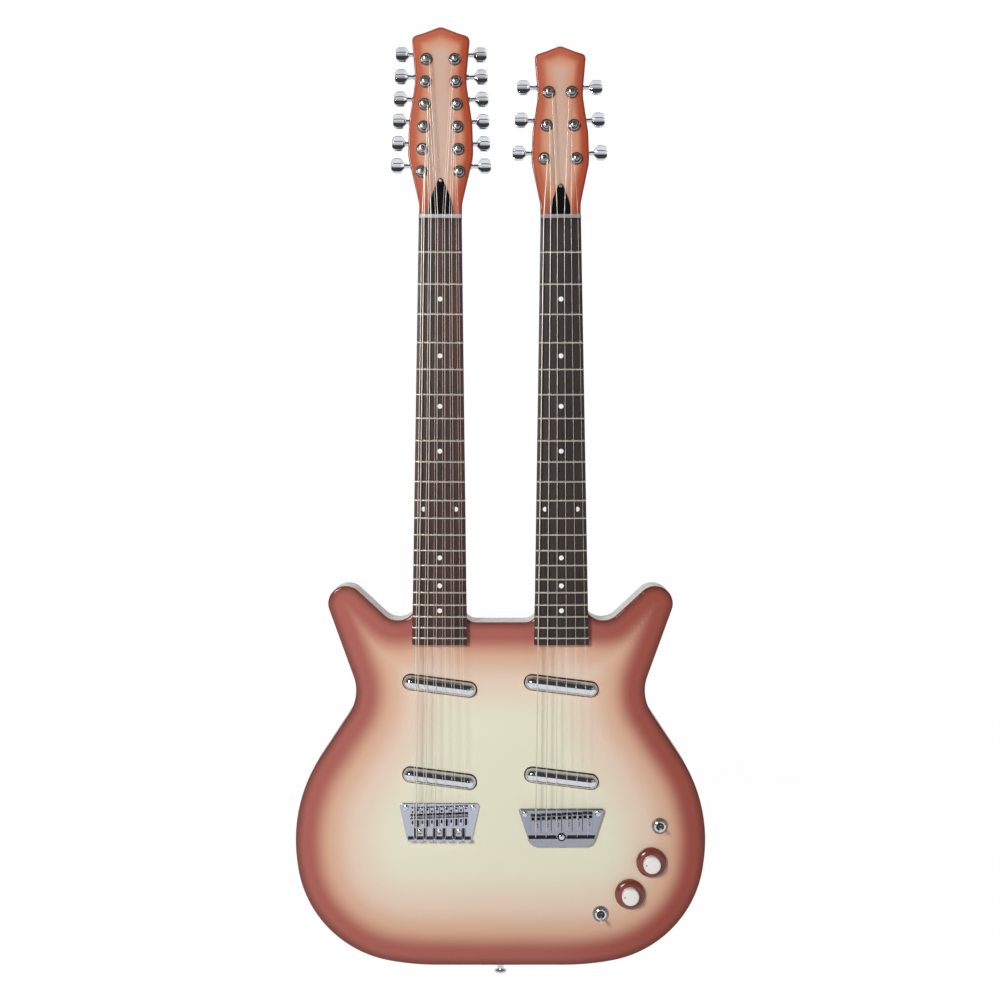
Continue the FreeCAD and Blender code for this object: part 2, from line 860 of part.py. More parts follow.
def string_places(neck):
    """Sideways places of a neck's strings at the nut and at the bridge, from the bass side."""
    places = []
    gap_nut = neck["pair_half_gap_nut"]
    gap_bridge = neck["pair_half_gap_bridge"]
    for course in range(course_count):
        offset = course - (course_count - 1) / 2
        nut_x = offset * neck["course_spacing_nut"]
        bridge_x = offset * neck["course_spacing_bridge"]
        if gap_nut:
            places += [(nut_x - gap_nut, bridge_x - gap_bridge), (nut_x + gap_nut, bridge_x + gap_bridge)]
        else:
            places.append((nut_x, bridge_x))
    return places


def nut(neck):
    """Aluminium nut with a slot for each string."""
    half = neck["nut_width"] / 2
    bar = block(-half, half, board_top_y - nut_over_board, board_under_y, nut_height, nut_height + nut_thick)
    slots = []
    for (nut_x, bridge_x), gauge in zip(string_places(neck), neck["gauges"]):
        side = gauge / 2 + nut_slot_gap
        slots.append(block(
            nut_x - side, nut_x + side, board_top_y - nut_over_board - overrun,
            board_top_y - nut_string_rise + nut_slot_gap,
            nut_height - overrun, nut_height + nut_thick + overrun))
    return bar.cut(slots)


def truss_rod_cover(neck):
    half = neck["cover_half_width"]
    length = neck["cover_length"]
    foot = nut_height + nut_thick
    side = [(half, foot, 0), (half, foot + cover_side_share * length, length)]
    peak = [(0, foot + length + cover_tip_over, cover_tip_radius)]
    left = [(-x, z, radius) for x, z, radius in side]
    return prism(rounded_wire(side + peak + left[::-1]), headstock_face_y - cover_thick, headstock_face_y)


# Tuners

def tuner_housing(neck, side, x, z):
    """Gear housing behind the headstock and its bushing, bored for the post and the button's shaft."""
    shaft_y = headstock_back_y + housing_thick / 2
    shaft_z = z + worm_offset
    half = housing_width / 2
    corners = [
        (x - half, z - housing_below_post, 0), (x - half, z - housing_below_post + housing_length, 0),
        (x + half, z - housing_below_post + housing_length, 0), (x + half, z - housing_below_post, 0)]
    case = prism(rounded_wire(corners), headstock_back_y, headstock_back_y + housing_thick)
    back_edges = edges_on(case, headstock_back_y + housing_thick, housing_chamfer / 2)
    case = case.makeChamfer(housing_chamfer, back_edges)
    nose = faceted_rod(
        turned_sides, housing_nose_diameter, housing_nose_diameter, vec(x, shaft_y, shaft_z),
        vec(x + side * (half + housing_nose_length), shaft_y, shaft_z))
    barrel_diameter = bushing_hole_diameter - 2 * screw_gap
    barrel = faceted_rod_y(
        turned_sides, barrel_diameter, barrel_diameter, x, z, headstock_back_y, headstock_face_y)
    collar = faceted_rod_y(
        turned_sides, bushing_collar_diameter, bushing_collar_top_diameter, x, z, headstock_face_y,
        headstock_face_y - bushing_rise)
    post_bore = rod_y(
        post_diameter + 2 * running_gap, x, z, headstock_face_y - overrun,
        headstock_back_y + post_depth_in_housing + seat_gap)
    shaft_bore = rod(
        button_shaft_diameter + 2 * running_gap,
        vec(x + side * (button_shaft_start - seat_gap), shaft_y, shaft_z),
        vec(x + side * (half + housing_nose_length + overrun), shaft_y, shaft_z))
    return fused([case, nose, barrel, collar]).cut([post_bore, shaft_bore])


def string_post(x, z):
    foot = headstock_back_y + post_depth_in_housing
    shoulder = headstock_face_y - post_rise + post_chamfer
    post = rod_y(post_diameter, x, z, foot, shoulder)
    head = faceted_rod_y(
        turned_sides, post_diameter, post_diameter - 2 * post_chamfer, x, z, shoulder,
        headstock_face_y - post_rise)
    return fused([post, head])


def tuner_button(side, x, z):
    """Faceted button on its shaft; the shaft runs in the housing's bore."""
    shaft_y = headstock_back_y + housing_thick / 2
    shaft_z = z + worm_offset
    inner = button_reach - button_length
    shaft = rod(
        button_shaft_diameter, vec(x + side * button_shaft_start, shaft_y, shaft_z),
        vec(x + side * inner, shaft_y, shaft_z))
    flank = inner + button_flank_share * button_length
    shoulder = inner + button_tip_share * button_length
    half_profile = [
        (inner, button_neck_width / 2), (flank, button_width / 2), (shoulder, button_width / 2),
        (button_reach, button_tip_width / 2)]
    outline = [(reach, width) for reach, width in half_profile]
    outline += [(reach, -width) for reach, width in reversed(half_profile)]
    corners = [(x + side * reach, shaft_z + width, 0) for reach, width in outline]
    plate = prism(rounded_wire(corners), shaft_y - button_thick / 2, shaft_y + button_thick / 2)
    ridge = [
        (-button_width / 2, -button_edge_thick / 2), (0, -button_thick / 2),
        (button_width / 2, -button_edge_thick / 2), (button_width / 2, button_edge_thick / 2),
        (0, button_thick / 2), (-button_width / 2, button_edge_thick / 2)]
    points = [vec(x + side * inner, shaft_y + depth, shaft_z + rise) for rise, depth in ridge]
    facets = Part.Face(Part.makePolygon(points + points[:1])).extrude(vec(side * button_length, 0, 0))
    return fused([shaft, plate.common(facets)])


# Pickups

def pickup(neck, height):
    """Chrome tube with ball ends, lying in its slot, on a steel bracket."""
    half = pickup_length / 2
    radius = pickup_diameter / 2
    centre_y = face_y - pickup_rise + radius
    slope = radius / math.sqrt(2)
    left = [vec(-half, 0, 0), vec(radius - half - slope, 0, slope), vec(radius - half, 0, radius)]
    right = [vec(half - radius, 0, radius), vec(half - radius + slope, 0, slope), vec(half, 0, 0)]
    profile = Part.Wire([
        Part.Arc(*left).toShape(),
        Part.LineSegment(left[2], right[0]).toShape(),
        Part.Arc(*right).toShape(),
        Part.LineSegment(right[2], left[0]).toShape()])
    tube = Part.Face(profile).revolve(vec(0, 0, 0), vec(1, 0, 0), 360)
    tube.translate(vec(0, centre_y, 0))
    bracket_reach = pickup_screw_spacing / 2 + bracket_width / 2
    bracket = block(
        -bracket_reach, bracket_reach, centre_y + radius, centre_y + radius + bracket_thick,
        -bracket_width / 2, bracket_width / 2)
    pieces = []
    for piece in (tube, bracket):
        piece.rotate(vec(0, 0, 0), vec(0, 1, 0), pickup_slant_degrees)
        piece.translate(vec(0, 0, height))
        pieces.append(set_on_body(piece, neck))
    return pieces


# Bridges

def plate_wire(neck):
    top = neck["plate_top_width"] / 2
    foot = neck["plate_foot_width"] / 2
    right = [
        (top, neck["plate_top"], neck["plate_corner_radius"]),
        (foot, neck["plate_foot"], neck["plate_foot_radius"])]
    return rounded_wire(mirrored(right))


def twelve_string_plate():
    """Flat trapezoid plate with an upright rear lip, slotted for the six courses."""
    plate = prism(plate_wire(twelve), face_y - plate_thick, face_y)
    foot = twelve["plate_foot"]
    half = twelve["plate_foot_width"] / 2 - lip_margin
    lip = block(-half, half, face_y - lip_height, face_y - plate_thick, foot, foot + lip_thick)
    solid = fused([plate, lip])
    cuts = []
    for course in range(course_count):
        x = (course - (course_count - 1) / 2) * twelve["course_spacing_bridge"]
        side = lip_slot_width / 2
        cuts.append(block(
            x - side, x + side, face_y - lip_height - overrun, face_y - lip_height + lip_slot_depth,
            foot - overrun, foot + lip_thick + overrun))
    for x, z in bridge_screw_places(twelve):
        cuts.append(rod_y(
            plate_screw_shank_diameter + 2 * screw_gap, x, z,
            face_y + overrun, face_y - plate_thick - overrun))
    return solid.cut(cuts)


def six_string_plate():
    """Stamped tray, open below, with one long slot in which the string ends hook."""
    shell = prism(plate_wire(six), face_y - tray_rise, face_y)
    inner_wire = plate_wire(six).makeOffset2D(-plate_thick)
    hollow = prism(inner_wire, face_y - tray_rise + plate_thick, face_y + overrun)
    half = six["plate_foot_width"] / 2 - tray_slot_margin
    centre = height_screw_place()[1]
    slot = block(
        -half, half, face_y - tray_rise - overrun, face_y + overrun,
        centre - tray_slot_height / 2, centre + tray_slot_height / 2)
    top = face_y - tray_rise
    middle = rod_y(height_screw_head_diameter, 0, centre, top, top + plate_thick)
    cuts = [rod_y(height_screw_diameter + 2 * screw_gap, 0, centre, face_y + overrun, top - overrun)]
    for x, z in bridge_screw_places(six):
        cuts.append(rod_y(
            plate_screw_shank_diameter + 2 * screw_gap, x, z, face_y + overrun, top - overrun))
    return fused([shell.cut([hollow, slot]), middle]).cut(cuts)


def saddle_crest(neck, index):
    """Height along the body of the crest that carries a string; the bass side sits further back."""
    count = len(neck["gauges"])
    lean = (index / (count - 1) - 0.5) * saddle_slant
    return bridge_line_height - neck["saddle_setback"] + lean


def saddle_seat_y(neck):
    return face_y - (plate_thick if neck is twelve else tray_rise)


def string_y_at_bridge():
    return face_y - string_rise_at_bridge


def saddles(neck):
    solids = []
    for index in range(len(neck["gauges"])):
        solids.append(saddle_block(neck, index))
    return solids


def saddle_block(neck, index):
    """Saddle: upright front, narrow crest under the string, low flat tail to the rear."""
    crest = saddle_crest(neck, index)
    gauge = neck["gauges"][index]
    centre = string_places(neck)[index][1]
    pitch = neck["course_spacing_bridge"]
    if neck["pair_half_gap_bridge"]:
        pitch = pitch / 2
        centre = (index - (len(neck["gauges"]) - 1) / 2) * pitch
    half = (pitch - saddle_gap) / 2
    seat = saddle_seat_y(neck)
    top = string_y_at_bridge() + gauge / 2 + saddle_string_gap
    low = seat - saddle_tail_thick
    front = crest + neck["saddle_front"]
    rear = crest - neck["saddle_rear"]
    profile = [
        (front, seat), (front, top + saddle_crest_flat), (crest + saddle_crest_flat, top), (crest, top),
        (crest - saddle_crest_slope, low), (rear, low), (rear, seat)]
    points = [vec(centre - half, y, z) for z, y in profile]
    return Part.Face(Part.makePolygon(points + points[:1])).extrude(vec(2 * half, 0, 0))


# Strings

def tube(points, bends, diameter):
    """Round wire along straight runs joined by tangent arcs, and the radii of those arcs."""
    edges = []
    last = points[0]
    for i in range(1, len(points) - 1):
        before = (points[i - 1] - points[i]).normalize()
        after = (points[i + 1] - points[i]).normalize()
        half_angle = before.getAngle(after) / 2
        setback = bends[i - 1] / math.tan(half_angle)
        start = points[i] + before * setback
        end = points[i] + after * setback
        inward = (before + after).normalize()
        middle = points[i] + inward * (bends[i - 1] / math.sin(half_angle) - bends[i - 1])
        edges.append(Part.LineSegment(last, start).toShape())
        edges.append(Part.Arc(start, middle, end).toShape())
        last = end
    edges.append(Part.LineSegment(last, points[-1]).toShape())
    path = Part.Wire(edges)
    along = (points[1] - points[0]).normalize()
    across = vec(1, 0, 0)
    up = along.cross(across).normalize()
    ring = ring_points(hidden_sides, diameter, points[0], up.cross(along), up)
    return path.makePipeShell([Part.makePolygon(ring + ring[:1])], True, False)


def string_route(neck, index):
    """Anchor at the bridge, crest of the saddle, nut, and the inner side of the string's own post."""
    gauge = neck["gauges"][index]
    nut_x, bridge_x = string_places(neck)[index]
    count = len(neck["gauges"])
    rows = neck["post_rows"]
    side, row = (-1, index) if index < rows else (1, count - 1 - index)
    post_x, post_z = [(x, z) for s, r, x, z in post_places(neck) if (s, r) == (side, row)][0]
    if neck is twelve:
        slot_floor_y = face_y - lip_height + lip_slot_depth
        anchor = vec(bridge_x, slot_floor_y - string_anchor_drop, neck["plate_foot"] + lip_thick / 2)
    else:
        anchor = vec(bridge_x, face_y - tray_rise, height_screw_place()[1])
    crest = vec(bridge_x, string_y_at_bridge(), saddle_crest(neck, index))
    at_nut = vec(nut_x, board_top_y - nut_string_rise - gauge / 2, nut_height + nut_thick / 2)
    reach = post_diameter / 2 + gauge / 2 + seat_gap
    at_post = vec(post_x - side * reach, headstock_face_y - string_wind_rise, post_z)
    return [anchor, crest, at_nut, at_post]


def strings(neck):
    wires = []
    for index, gauge in enumerate(neck["gauges"]):
        route = string_route(neck, index)
        wires.append(tube(route, [string_bend_radius, string_nut_bend_radius], gauge))
    return wires


# Controls

def control_body(place):
    """Pot under the top, its threaded bushing through the top and the nut on it, bored for both shafts."""
    x, z = place
    under = face_y + top_thick
    pot = rod_y(pot_diameter, x, z, under, under + pot_depth)
    bushing = rod_y(pot_bushing_diameter, x, z, face_y - pot_bushing_rise, under)
    hex_nut = hexagon_y(pot_nut_width, x, z, face_y - pot_nut_thick, face_y)
    outer_bore = rod_y(
        outer_shaft_diameter + 2 * running_gap, x, z, face_y - pot_bushing_rise - overrun,
        under + shaft_depth_in_pot / 2 + seat_gap)
    inner_bore = rod_y(
        inner_shaft_diameter + 2 * running_gap, x, z, under, under + shaft_depth_in_pot + seat_gap)
    return fused([pot, bushing, hex_nut]).cut([outer_bore, inner_bore])


def tone_ring(place):
    """Lower knob: a ring with a hollow over the nut, on the outer shaft."""
    x, z = place
    foot = face_y - ring_knob_lift
    top = foot - ring_knob_height
    body = rod_y(ring_knob_diameter, x, z, foot, top + ring_knob_chamfer)
    rounded_edge = cone_y(
        ring_knob_diameter, ring_knob_diameter - 2 * ring_knob_chamfer, x, z, top + ring_knob_chamfer, top)
    hollow = rod_y(ring_knob_hollow_diameter, x, z, foot + overrun, top + ring_knob_web)
    shaft = rod_y(
        outer_shaft_diameter, x, z, top + ring_knob_web, face_y + top_thick + shaft_depth_in_pot / 2)
    bore = rod_y(
        inner_shaft_diameter + 2 * running_gap, x, z, top - overrun, face_y + top_thick + shaft_depth_in_pot)
    return fused([fused([body, rounded_edge]).cut(hollow), shaft]).cut(bore)


def volume_knob(place):
    """Upper knob on the inner shaft."""
    x, z = place
    foot = face_y - ring_knob_lift - ring_knob_height - seat_gap
    top = foot - top_knob_height
    body = rod_y(top_knob_diameter, x, z, foot, top + top_knob_chamfer)
    edge = cone_y(
        top_knob_diameter, top_knob_diameter - 2 * top_knob_chamfer, x, z, top + top_knob_chamfer, top)
    shaft = rod_y(inner_shaft_diameter, x, z, foot, face_y + top_thick + shaft_depth_in_pot)
    return fused([body, edge, shaft])


def switch_pivot(place):
    x, z = place
    return vec(x, face_y - switch_pivot_rise, z)


def switch_body(place):
    """Switch case under the top, threaded bushing, washer and nut, with a coned mouth for the lever."""
    x, z = place
    under = face_y + top_thick
    half = switch_body_width / 2
    case = block(
        x - half, x + half, under, under + switch_body_depth,
        z - switch_body_length / 2, z + switch_body_length / 2)
    bushing = rod_y(switch_bushing_diameter, x, z, face_y - switch_bushing_rise, under)
    washer = rod_y(switch_washer_diameter, x, z, face_y - switch_washer_thick, face_y)
    ring_nut = hexagon_y(
        switch_nut_diameter, x, z, face_y - switch_washer_thick - switch_nut_thick,
        face_y - switch_washer_thick)
    pivot = switch_pivot(place)
    well_diameter = lever_pivot_length + 2 * seat_gap
    mouth = cone_y(well_diameter, switch_cone_diameter, x, z, pivot.y, face_y - switch_bushing_rise)
    well = rod_y(well_diameter, x, z, pivot.y, pivot.y + lever_pivot_length / 2 + seat_gap)
    return fused([case, bushing, washer, ring_nut]).cut([mouth, well])


def switch_lever(place, tilt_degrees):
    """Bat lever on a short cross pin; a positive tilt brings its tip down."""
    pivot = switch_pivot(place)
    start = vec(pivot.x, pivot.y + lever_pivot_diameter / 2, pivot.z)
    tip = start + vec(0, -lever_length, 0)
    bat = faceted_rod(turned_sides, lever_shaft_diameter, lever_tip_diameter, start, tip)
    half = vec(lever_pivot_length / 2, 0, 0)
    pin = rod(lever_pivot_diameter, pivot - half, pivot + half)
    lever = fused([bat, pin])
    lever.rotate(pivot, vec(1, 0, 0), tilt_degrees)
    return lever


def output_jack():
    """Open jack sleeve through the rim, with its washer and nut outside."""
    point, normal = jack_axis()
    sleeve = rod(jack_sleeve_diameter, point, point - normal * jack_sleeve_length)
    over_washer = point + normal * jack_washer_thick
    washer = rod(jack_washer_diameter, point, over_washer)
    collar = rod(jack_nut_width, over_washer, over_washer + normal * jack_nut_thick)
    bore = rod(jack_bore_diameter, point + normal * overrun, point - normal * (jack_sleeve_length + overrun))
    return fused([sleeve, washer, collar]).cut(bore)


# Fasteners

def neck_screws(neck):
    solids = []
    for x, z in neck_screw_places():
        head_y = back_y + cup_washer_thick
        washer = faceted_rod_y(
            turned_sides, cup_washer_diameter, neck_screw_head_diameter, x, z, back_y, head_y)
        shank = faceted_rod_y(
            hidden_sides, neck_screw_diameter, neck_screw_diameter, x, z, back_y, head_y - neck_screw_length)
        head = faceted_rod_y(
            turned_sides, neck_screw_head_diameter, neck_screw_diameter, x, z, head_y,
            head_y + neck_screw_head_height)
        solids.append(set_on_body(fused([washer, shank, head]), neck))
    return solids


def pickup_screws(neck):
    """Height screws: head on the back, shank up to the bracket under each end of the tube."""
    tip_y = face_y - pickup_rise + pickup_diameter + bracket_thick
    solids = []
    for height in pickup_heights():
        for x, z in pickup_screw_places():
            shank = faceted_rod_y(
                hidden_sides, pickup_screw_diameter, pickup_screw_diameter, x, height + z, tip_y, back_y)
            head = faceted_rod_y(
                turned_sides, pickup_screw_head_diameter, pickup_screw_head_diameter, x, height + z,
                back_y, back_y + pickup_screw_head_height)
            solids.append(set_on_body(fused([shank, head]), neck))
    return solids


def bridge_screws(neck):
    top = saddle_seat_y(neck)
    solids = []
    for x, z in bridge_screw_places(neck):
        shank = faceted_rod_y(
            hidden_sides, plate_screw_shank_diameter, plate_screw_shank_diameter, x, z, top,
            face_y + plate_screw_shank_length)
        head = faceted_rod_y(
            turned_sides, plate_screw_head_diameter, plate_screw_head_diameter, x, z,
            top - plate_screw_head_height, top)
        solids.append(set_on_body(fused([shank, head]), neck))
    if neck is six:
        x, z = height_screw_place()
        shank = faceted_rod_y(
            hidden_sides, height_screw_diameter, height_screw_diameter, x, z, top, top + height_screw_length)
        head = faceted_rod_y(
            turned_sides, height_screw_head_diameter, height_screw_head_diameter, x, z,
            top - height_screw_head_height, top)
        solids.append(set_on_body(fused([shank, head]), neck))
    return solids


def strap_button(seat, outward):
    """Turned strap button: foot, waist and wide head, with its screw in one piece."""
    base = Part.makeCone(
        strap_base_diameter / 2, strap_stem_diameter / 2, strap_base_length, seat, outward)
    tip = seat + outward * strap_length
    stem = rod(strap_stem_diameter, seat, tip)
    head = rod(strap_head_diameter, tip - outward * strap_head_length, tip)
    screw = rod(strap_screw_diameter, seat, seat - outward * strap_screw_length)
    return fused([base, stem, head, screw])


def strap_buttons():
    end_button = strap_button(vec(0, 0, -tape_thick), vec(0, 0, -1))
    x, z = rear_strap_place
    rear_button = strap_button(vec(x, back_y, z), vec(0, 1, 0))
    return [end_button, rear_button]


def side_name(side):
    return "left" if side < 0 else "right"


def main():
    os.makedirs("parts", exist_ok=True)
    save("body_top", [body_top()])
    save("body_back", [body_back()])
    save("body_frame", body_core())
    save("edge_tape", edge_tape())
    for neck in necks:
        save("neck_" + neck["name"], [set_on_body(neck_wood(neck), neck)])
    save("fingerboards", [set_on_body(fingerboard(neck), neck) for neck in necks])
    numbers = range(1, fret_count + 1)
    save("frets", [set_on_body(fret(neck, number), neck) for neck in necks for number in numbers])
    save("nuts", [set_on_body(nut(neck), neck) for neck in necks])
    save("truss_rods", [set_on_body(truss_rod(neck, 0), neck) for neck in necks])
    save("truss_rod_covers", [set_on_body(truss_rod_cover(neck), neck) for neck in necks])
    pickups = []
    screws = []
    for neck in necks:
        for height in pickup_heights():
            pickups += pickup(neck, height)
        screws += neck_screws(neck) + pickup_screws(neck) + bridge_screws(neck)
    save("pickups", pickups)
    save("screws_and_strap_buttons", screws + strap_buttons())
    plates = [set_on_body(twelve_string_plate(), twelve), set_on_body(six_string_plate(), six)]
    save("bridge_plates", plates)
    save("saddles", [set_on_body(solid, neck) for neck in necks for solid in saddles(neck)])
    save("strings", [set_on_body(solid, neck) for neck in necks for solid in strings(neck)])
    housings = []
    for neck in necks:
        for side, row, x, z in post_places(neck):
            label = neck["name"] + "_" + side_name(side) + "_" + str(row + 1)
            housings.append(set_on_body(tuner_housing(neck, side, x, z), neck))
            save("string_post_" + label, [set_on_body(string_post(x, z), neck)])
            save("tuner_button_" + label, [set_on_body(tuner_button(side, x, z), neck)])
    save("tuner_housings", housings)
    bodies = [control_body(place) for place in knob_places.values()]
    bodies += [switch_body(place) for place in switch_places.values()]
    save("controls", bodies + [output_jack()])
    for name, place in knob_places.items():
        save("tone_ring_" + name, [tone_ring(place)])
        save("volume_knob_" + name, [volume_knob(place)])
    save("upper_switch_lever", [switch_lever(switch_places["upper"], 0)])
    save("lower_switch_lever", [switch_lever(switch_places["lower"], switch_throw_degrees)])


main()
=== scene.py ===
# %% [markdown]
# # A double-neck guitar in copper sunburst
# A twelve-string neck and a six-string neck share one hollow body. The CAD model gives every part its place
# and its joints. This lesson dresses it: smooth lacquered forms, chrome hardware, wood grain and strings.
# All sizes are written in millimetres and turned into Blender's metres when a mesh is made.

# %% Load the frame
import math

import bmesh
import bpy
import numpy as np
from mathutils import Matrix, Vector
from mathutils.geometry import delaunay_2d_cdt


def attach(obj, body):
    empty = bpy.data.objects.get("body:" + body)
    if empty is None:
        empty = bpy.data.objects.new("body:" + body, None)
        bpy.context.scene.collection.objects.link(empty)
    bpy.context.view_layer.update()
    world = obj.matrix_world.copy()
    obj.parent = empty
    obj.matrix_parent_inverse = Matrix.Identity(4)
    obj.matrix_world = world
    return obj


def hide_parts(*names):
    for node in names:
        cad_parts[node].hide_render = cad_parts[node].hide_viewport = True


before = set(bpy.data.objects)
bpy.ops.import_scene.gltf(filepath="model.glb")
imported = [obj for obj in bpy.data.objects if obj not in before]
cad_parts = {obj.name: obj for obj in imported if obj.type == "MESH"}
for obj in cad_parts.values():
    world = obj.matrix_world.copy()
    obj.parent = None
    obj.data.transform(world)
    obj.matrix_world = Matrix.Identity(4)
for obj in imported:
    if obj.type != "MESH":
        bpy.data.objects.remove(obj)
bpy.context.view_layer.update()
MM = 0.001

# %% [markdown]
# ## Camera
# The picture is taken almost straight on, from nearly two metres, a little above the body. A wide lens
# close by would pull the headstocks apart from the body. A long one keeps the necks parallel, so its length
# and its tilt were chosen until both headstocks and the body's bottom edge fitted together.

# %% Camera
CAMERA_PLACE = (0, -1.8443, 0.6038)
CAMERA_TILT = 3.0624
LENS, SENSOR, SIDE_SHIFT = 61.37, 36, -0.0005

camera = bpy.data.objects.new("camera", bpy.data.cameras.new("camera"))
camera.data.sensor_width = SENSOR
camera.data.lens = LENS
camera.data.shift_x = SIDE_SHIFT
camera.location = CAMERA_PLACE
camera.rotation_euler = (math.radians(90 - CAMERA_TILT), 0, 0)
bpy.context.collection.objects.link(camera)
bpy.context.scene.camera = camera
bpy.context.scene.view_settings.view_transform = "Standard"
print("camera at", tuple(camera.location))

# %% [markdown]
# ## Studio
# Product pictures use a paper sweep: floor and wall in one sheet with a soft bend. A plane and a wall would
# show a line where they meet. The camera sees the sheet almost white, while its real surface still catches
# a soft shadow: Light Path's rays choose between the two. The sheet has one side only, so that a camera
# behind the wall still sees the guitar's back.

# %% Colours, materials and nodes
def paint(red, green, blue):
    """A colour as a painter's 0 to 255 values, turned into the linear numbers that shaders want."""
    linear = []
    for value in (red, green, blue):
        share = value / 255
        linear.append(share / 12.92 if share <= 0.04045 else ((share + 0.055) / 1.055) ** 2.4)
    return (*linear, 1.0)


def new_material(name, color, roughness, metallic=0.0, coat=0.0, coat_roughness=0.03):
    material = bpy.data.materials.new(name)
    material.use_nodes = True
    shader = material.node_tree.nodes["Principled BSDF"]
    shader.inputs["Base Color"].default_value = color
    shader.inputs["Roughness"].default_value = roughness
    shader.inputs["Metallic"].default_value = metallic
    shader.inputs["Coat Weight"].default_value = coat
    shader.inputs["Coat Roughness"].default_value = coat_roughness
    return material


def add_node(tree, kind, inputs=None, **settings):
    """Adds a node; inputs may be plain values or the output sockets of other nodes."""
    node = tree.nodes.new(kind)
    for key, value in settings.items():
        setattr(node, key, value)
    for key, value in (inputs or {}).items():
        if isinstance(value, bpy.types.NodeSocket):
            tree.links.new(value, node.inputs[key])
        else:
            node.inputs[key].default_value = value
    return node


print("middle grey is", round(paint(128, 128, 128)[0], 3), "in linear light")

# %% Nodes that are used again and again
def math_node(tree, operation, first, second=0.0):
    return add_node(tree, "ShaderNodeMath", {0: first, 1: second}, operation=operation).outputs[0]


def ranged(tree, value, start=0.0, end=1.0, low=0.0, high=1.0, ease="LINEAR"):
    """What runs from start to end comes out from low to high, and stays there beyond both ends."""
    return add_node(tree, "ShaderNodeMapRange", {
        "Value": value, "From Min": start, "From Max": end, "To Min": low, "To Max": high},
        interpolation_type=ease).outputs[0]


def mixed(tree, share, first, second, blend_type="MIX"):
    """The first colour where share is 0, the second where it is 1."""
    return add_node(tree, "ShaderNodeMix", {0: share, 6: first, 7: second}, data_type="RGBA",
                    blend_type=blend_type).outputs[2]


# %% Paper that glows for the camera
PAPER_GLOW, GLOW_SHARE = 1.08, 0.88
paper = new_material("studio_paper", (0.86, 0.86, 0.86, 1), 0.9)
tree = paper.node_tree
rays = add_node(tree, "ShaderNodeLightPath").outputs
seen = math_node(tree, "MAXIMUM", rays["Is Camera Ray"], rays["Is Glossy Ray"])
seen = math_node(tree, "MAXIMUM", seen, rays["Is Transmission Ray"])
seen = math_node(tree, "MULTIPLY", seen, GLOW_SHARE)
glow = add_node(tree, "ShaderNodeEmission", {"Color": (1, 1, 1, 1), "Strength": PAPER_GLOW})
front = add_node(tree, "ShaderNodeMixShader", {
    0: seen, 1: tree.nodes["Principled BSDF"].outputs[0], 2: glow.outputs[0]})
behind = add_node(tree, "ShaderNodeNewGeometry")
clear = add_node(tree, "ShaderNodeBsdfTransparent")
one_sided = add_node(tree, "ShaderNodeMixShader", {
    0: behind.outputs["Backfacing"], 1: front.outputs[0], 2: clear.outputs[0]})
tree.links.new(one_sided.outputs[0], tree.nodes["Material Output"].inputs["Surface"])
print(paper.name, len(tree.nodes), "nodes")

# %% Paper sweep
FLOOR_Z = -14.9
SWEEP_REACH, SWEEP_TOP, SWEEP_BACK, SWEEP_BEND, BEND_STEPS = 4000, 3200, 900, 500, 12


def sweep_profile():
    bend_start = SWEEP_BACK - SWEEP_BEND
    points = [(-SWEEP_REACH, FLOOR_Z), (bend_start, FLOOR_Z)]
    for step in range(1, BEND_STEPS + 1):
        turn = math.radians(90 * step / BEND_STEPS)
        points.append((bend_start + SWEEP_BEND * math.sin(turn), FLOOR_Z + SWEEP_BEND * (1 - math.cos(turn))))
    points.append((SWEEP_BACK, SWEEP_TOP))
    return points


profile = sweep_profile()
sweep_points = [(x * MM, y * MM, z * MM) for y, z in profile for x in (-SWEEP_REACH, SWEEP_REACH)]
sweep_faces = [(2 * i, 2 * i + 1, 2 * i + 3, 2 * i + 2) for i in range(len(profile) - 1)]
sweep_mesh = bpy.data.meshes.new("paper_sweep")
sweep_mesh.from_pydata(sweep_points, [], sweep_faces)
sweep_mesh.shade_smooth()
sweep_mesh.materials.append(paper)
sweep = bpy.data.objects.new("paper_sweep", sweep_mesh)
bpy.context.collection.objects.link(sweep)
print("sweep", len(sweep_faces), "faces")

# %% [markdown]
# ## Light
# One soft lamp from the left, a little above, gives the knobs and bridges their short shadows to the right.
# A wide weak one fills in from the right, and a third lights the paper and the tops of things. The room is
# dark towards the camera, but light behind the guitar and below the horizon: chrome needs that, because a
# mirror in an all-white room looks like paper. Dull surfaces get less than half of the room's light, so
# that the key lamp's shadows stay.

# %% Lamps
def soft_lamp(name, place, aim, size, power):
    data = bpy.data.lights.new(name, "AREA")
    data.shape = "RECTANGLE"
    data.size, data.size_y = size
    data.energy = power
    lamp = bpy.data.objects.new(name, data)
    lamp.location = place
    lamp.rotation_euler = (Vector(aim) - Vector(place)).to_track_quat("-Z", "Y").to_euler()
    bpy.context.collection.objects.link(lamp)


soft_lamp("key_lamp", (-1.15, -2.4, 1.25), (0, 0, 0.45), (0.6, 0.6), 60)
soft_lamp("fill_lamp", (1.9, -2.1, 0.9), (0, 0, 0.5), (2.4, 2.4), 7)
soft_lamp("top_lamp", (0, 0.5, 2.4), (0, 0, 0.5), (1.6, 0.8), 7.5)
print("lamps", len(bpy.data.lights))

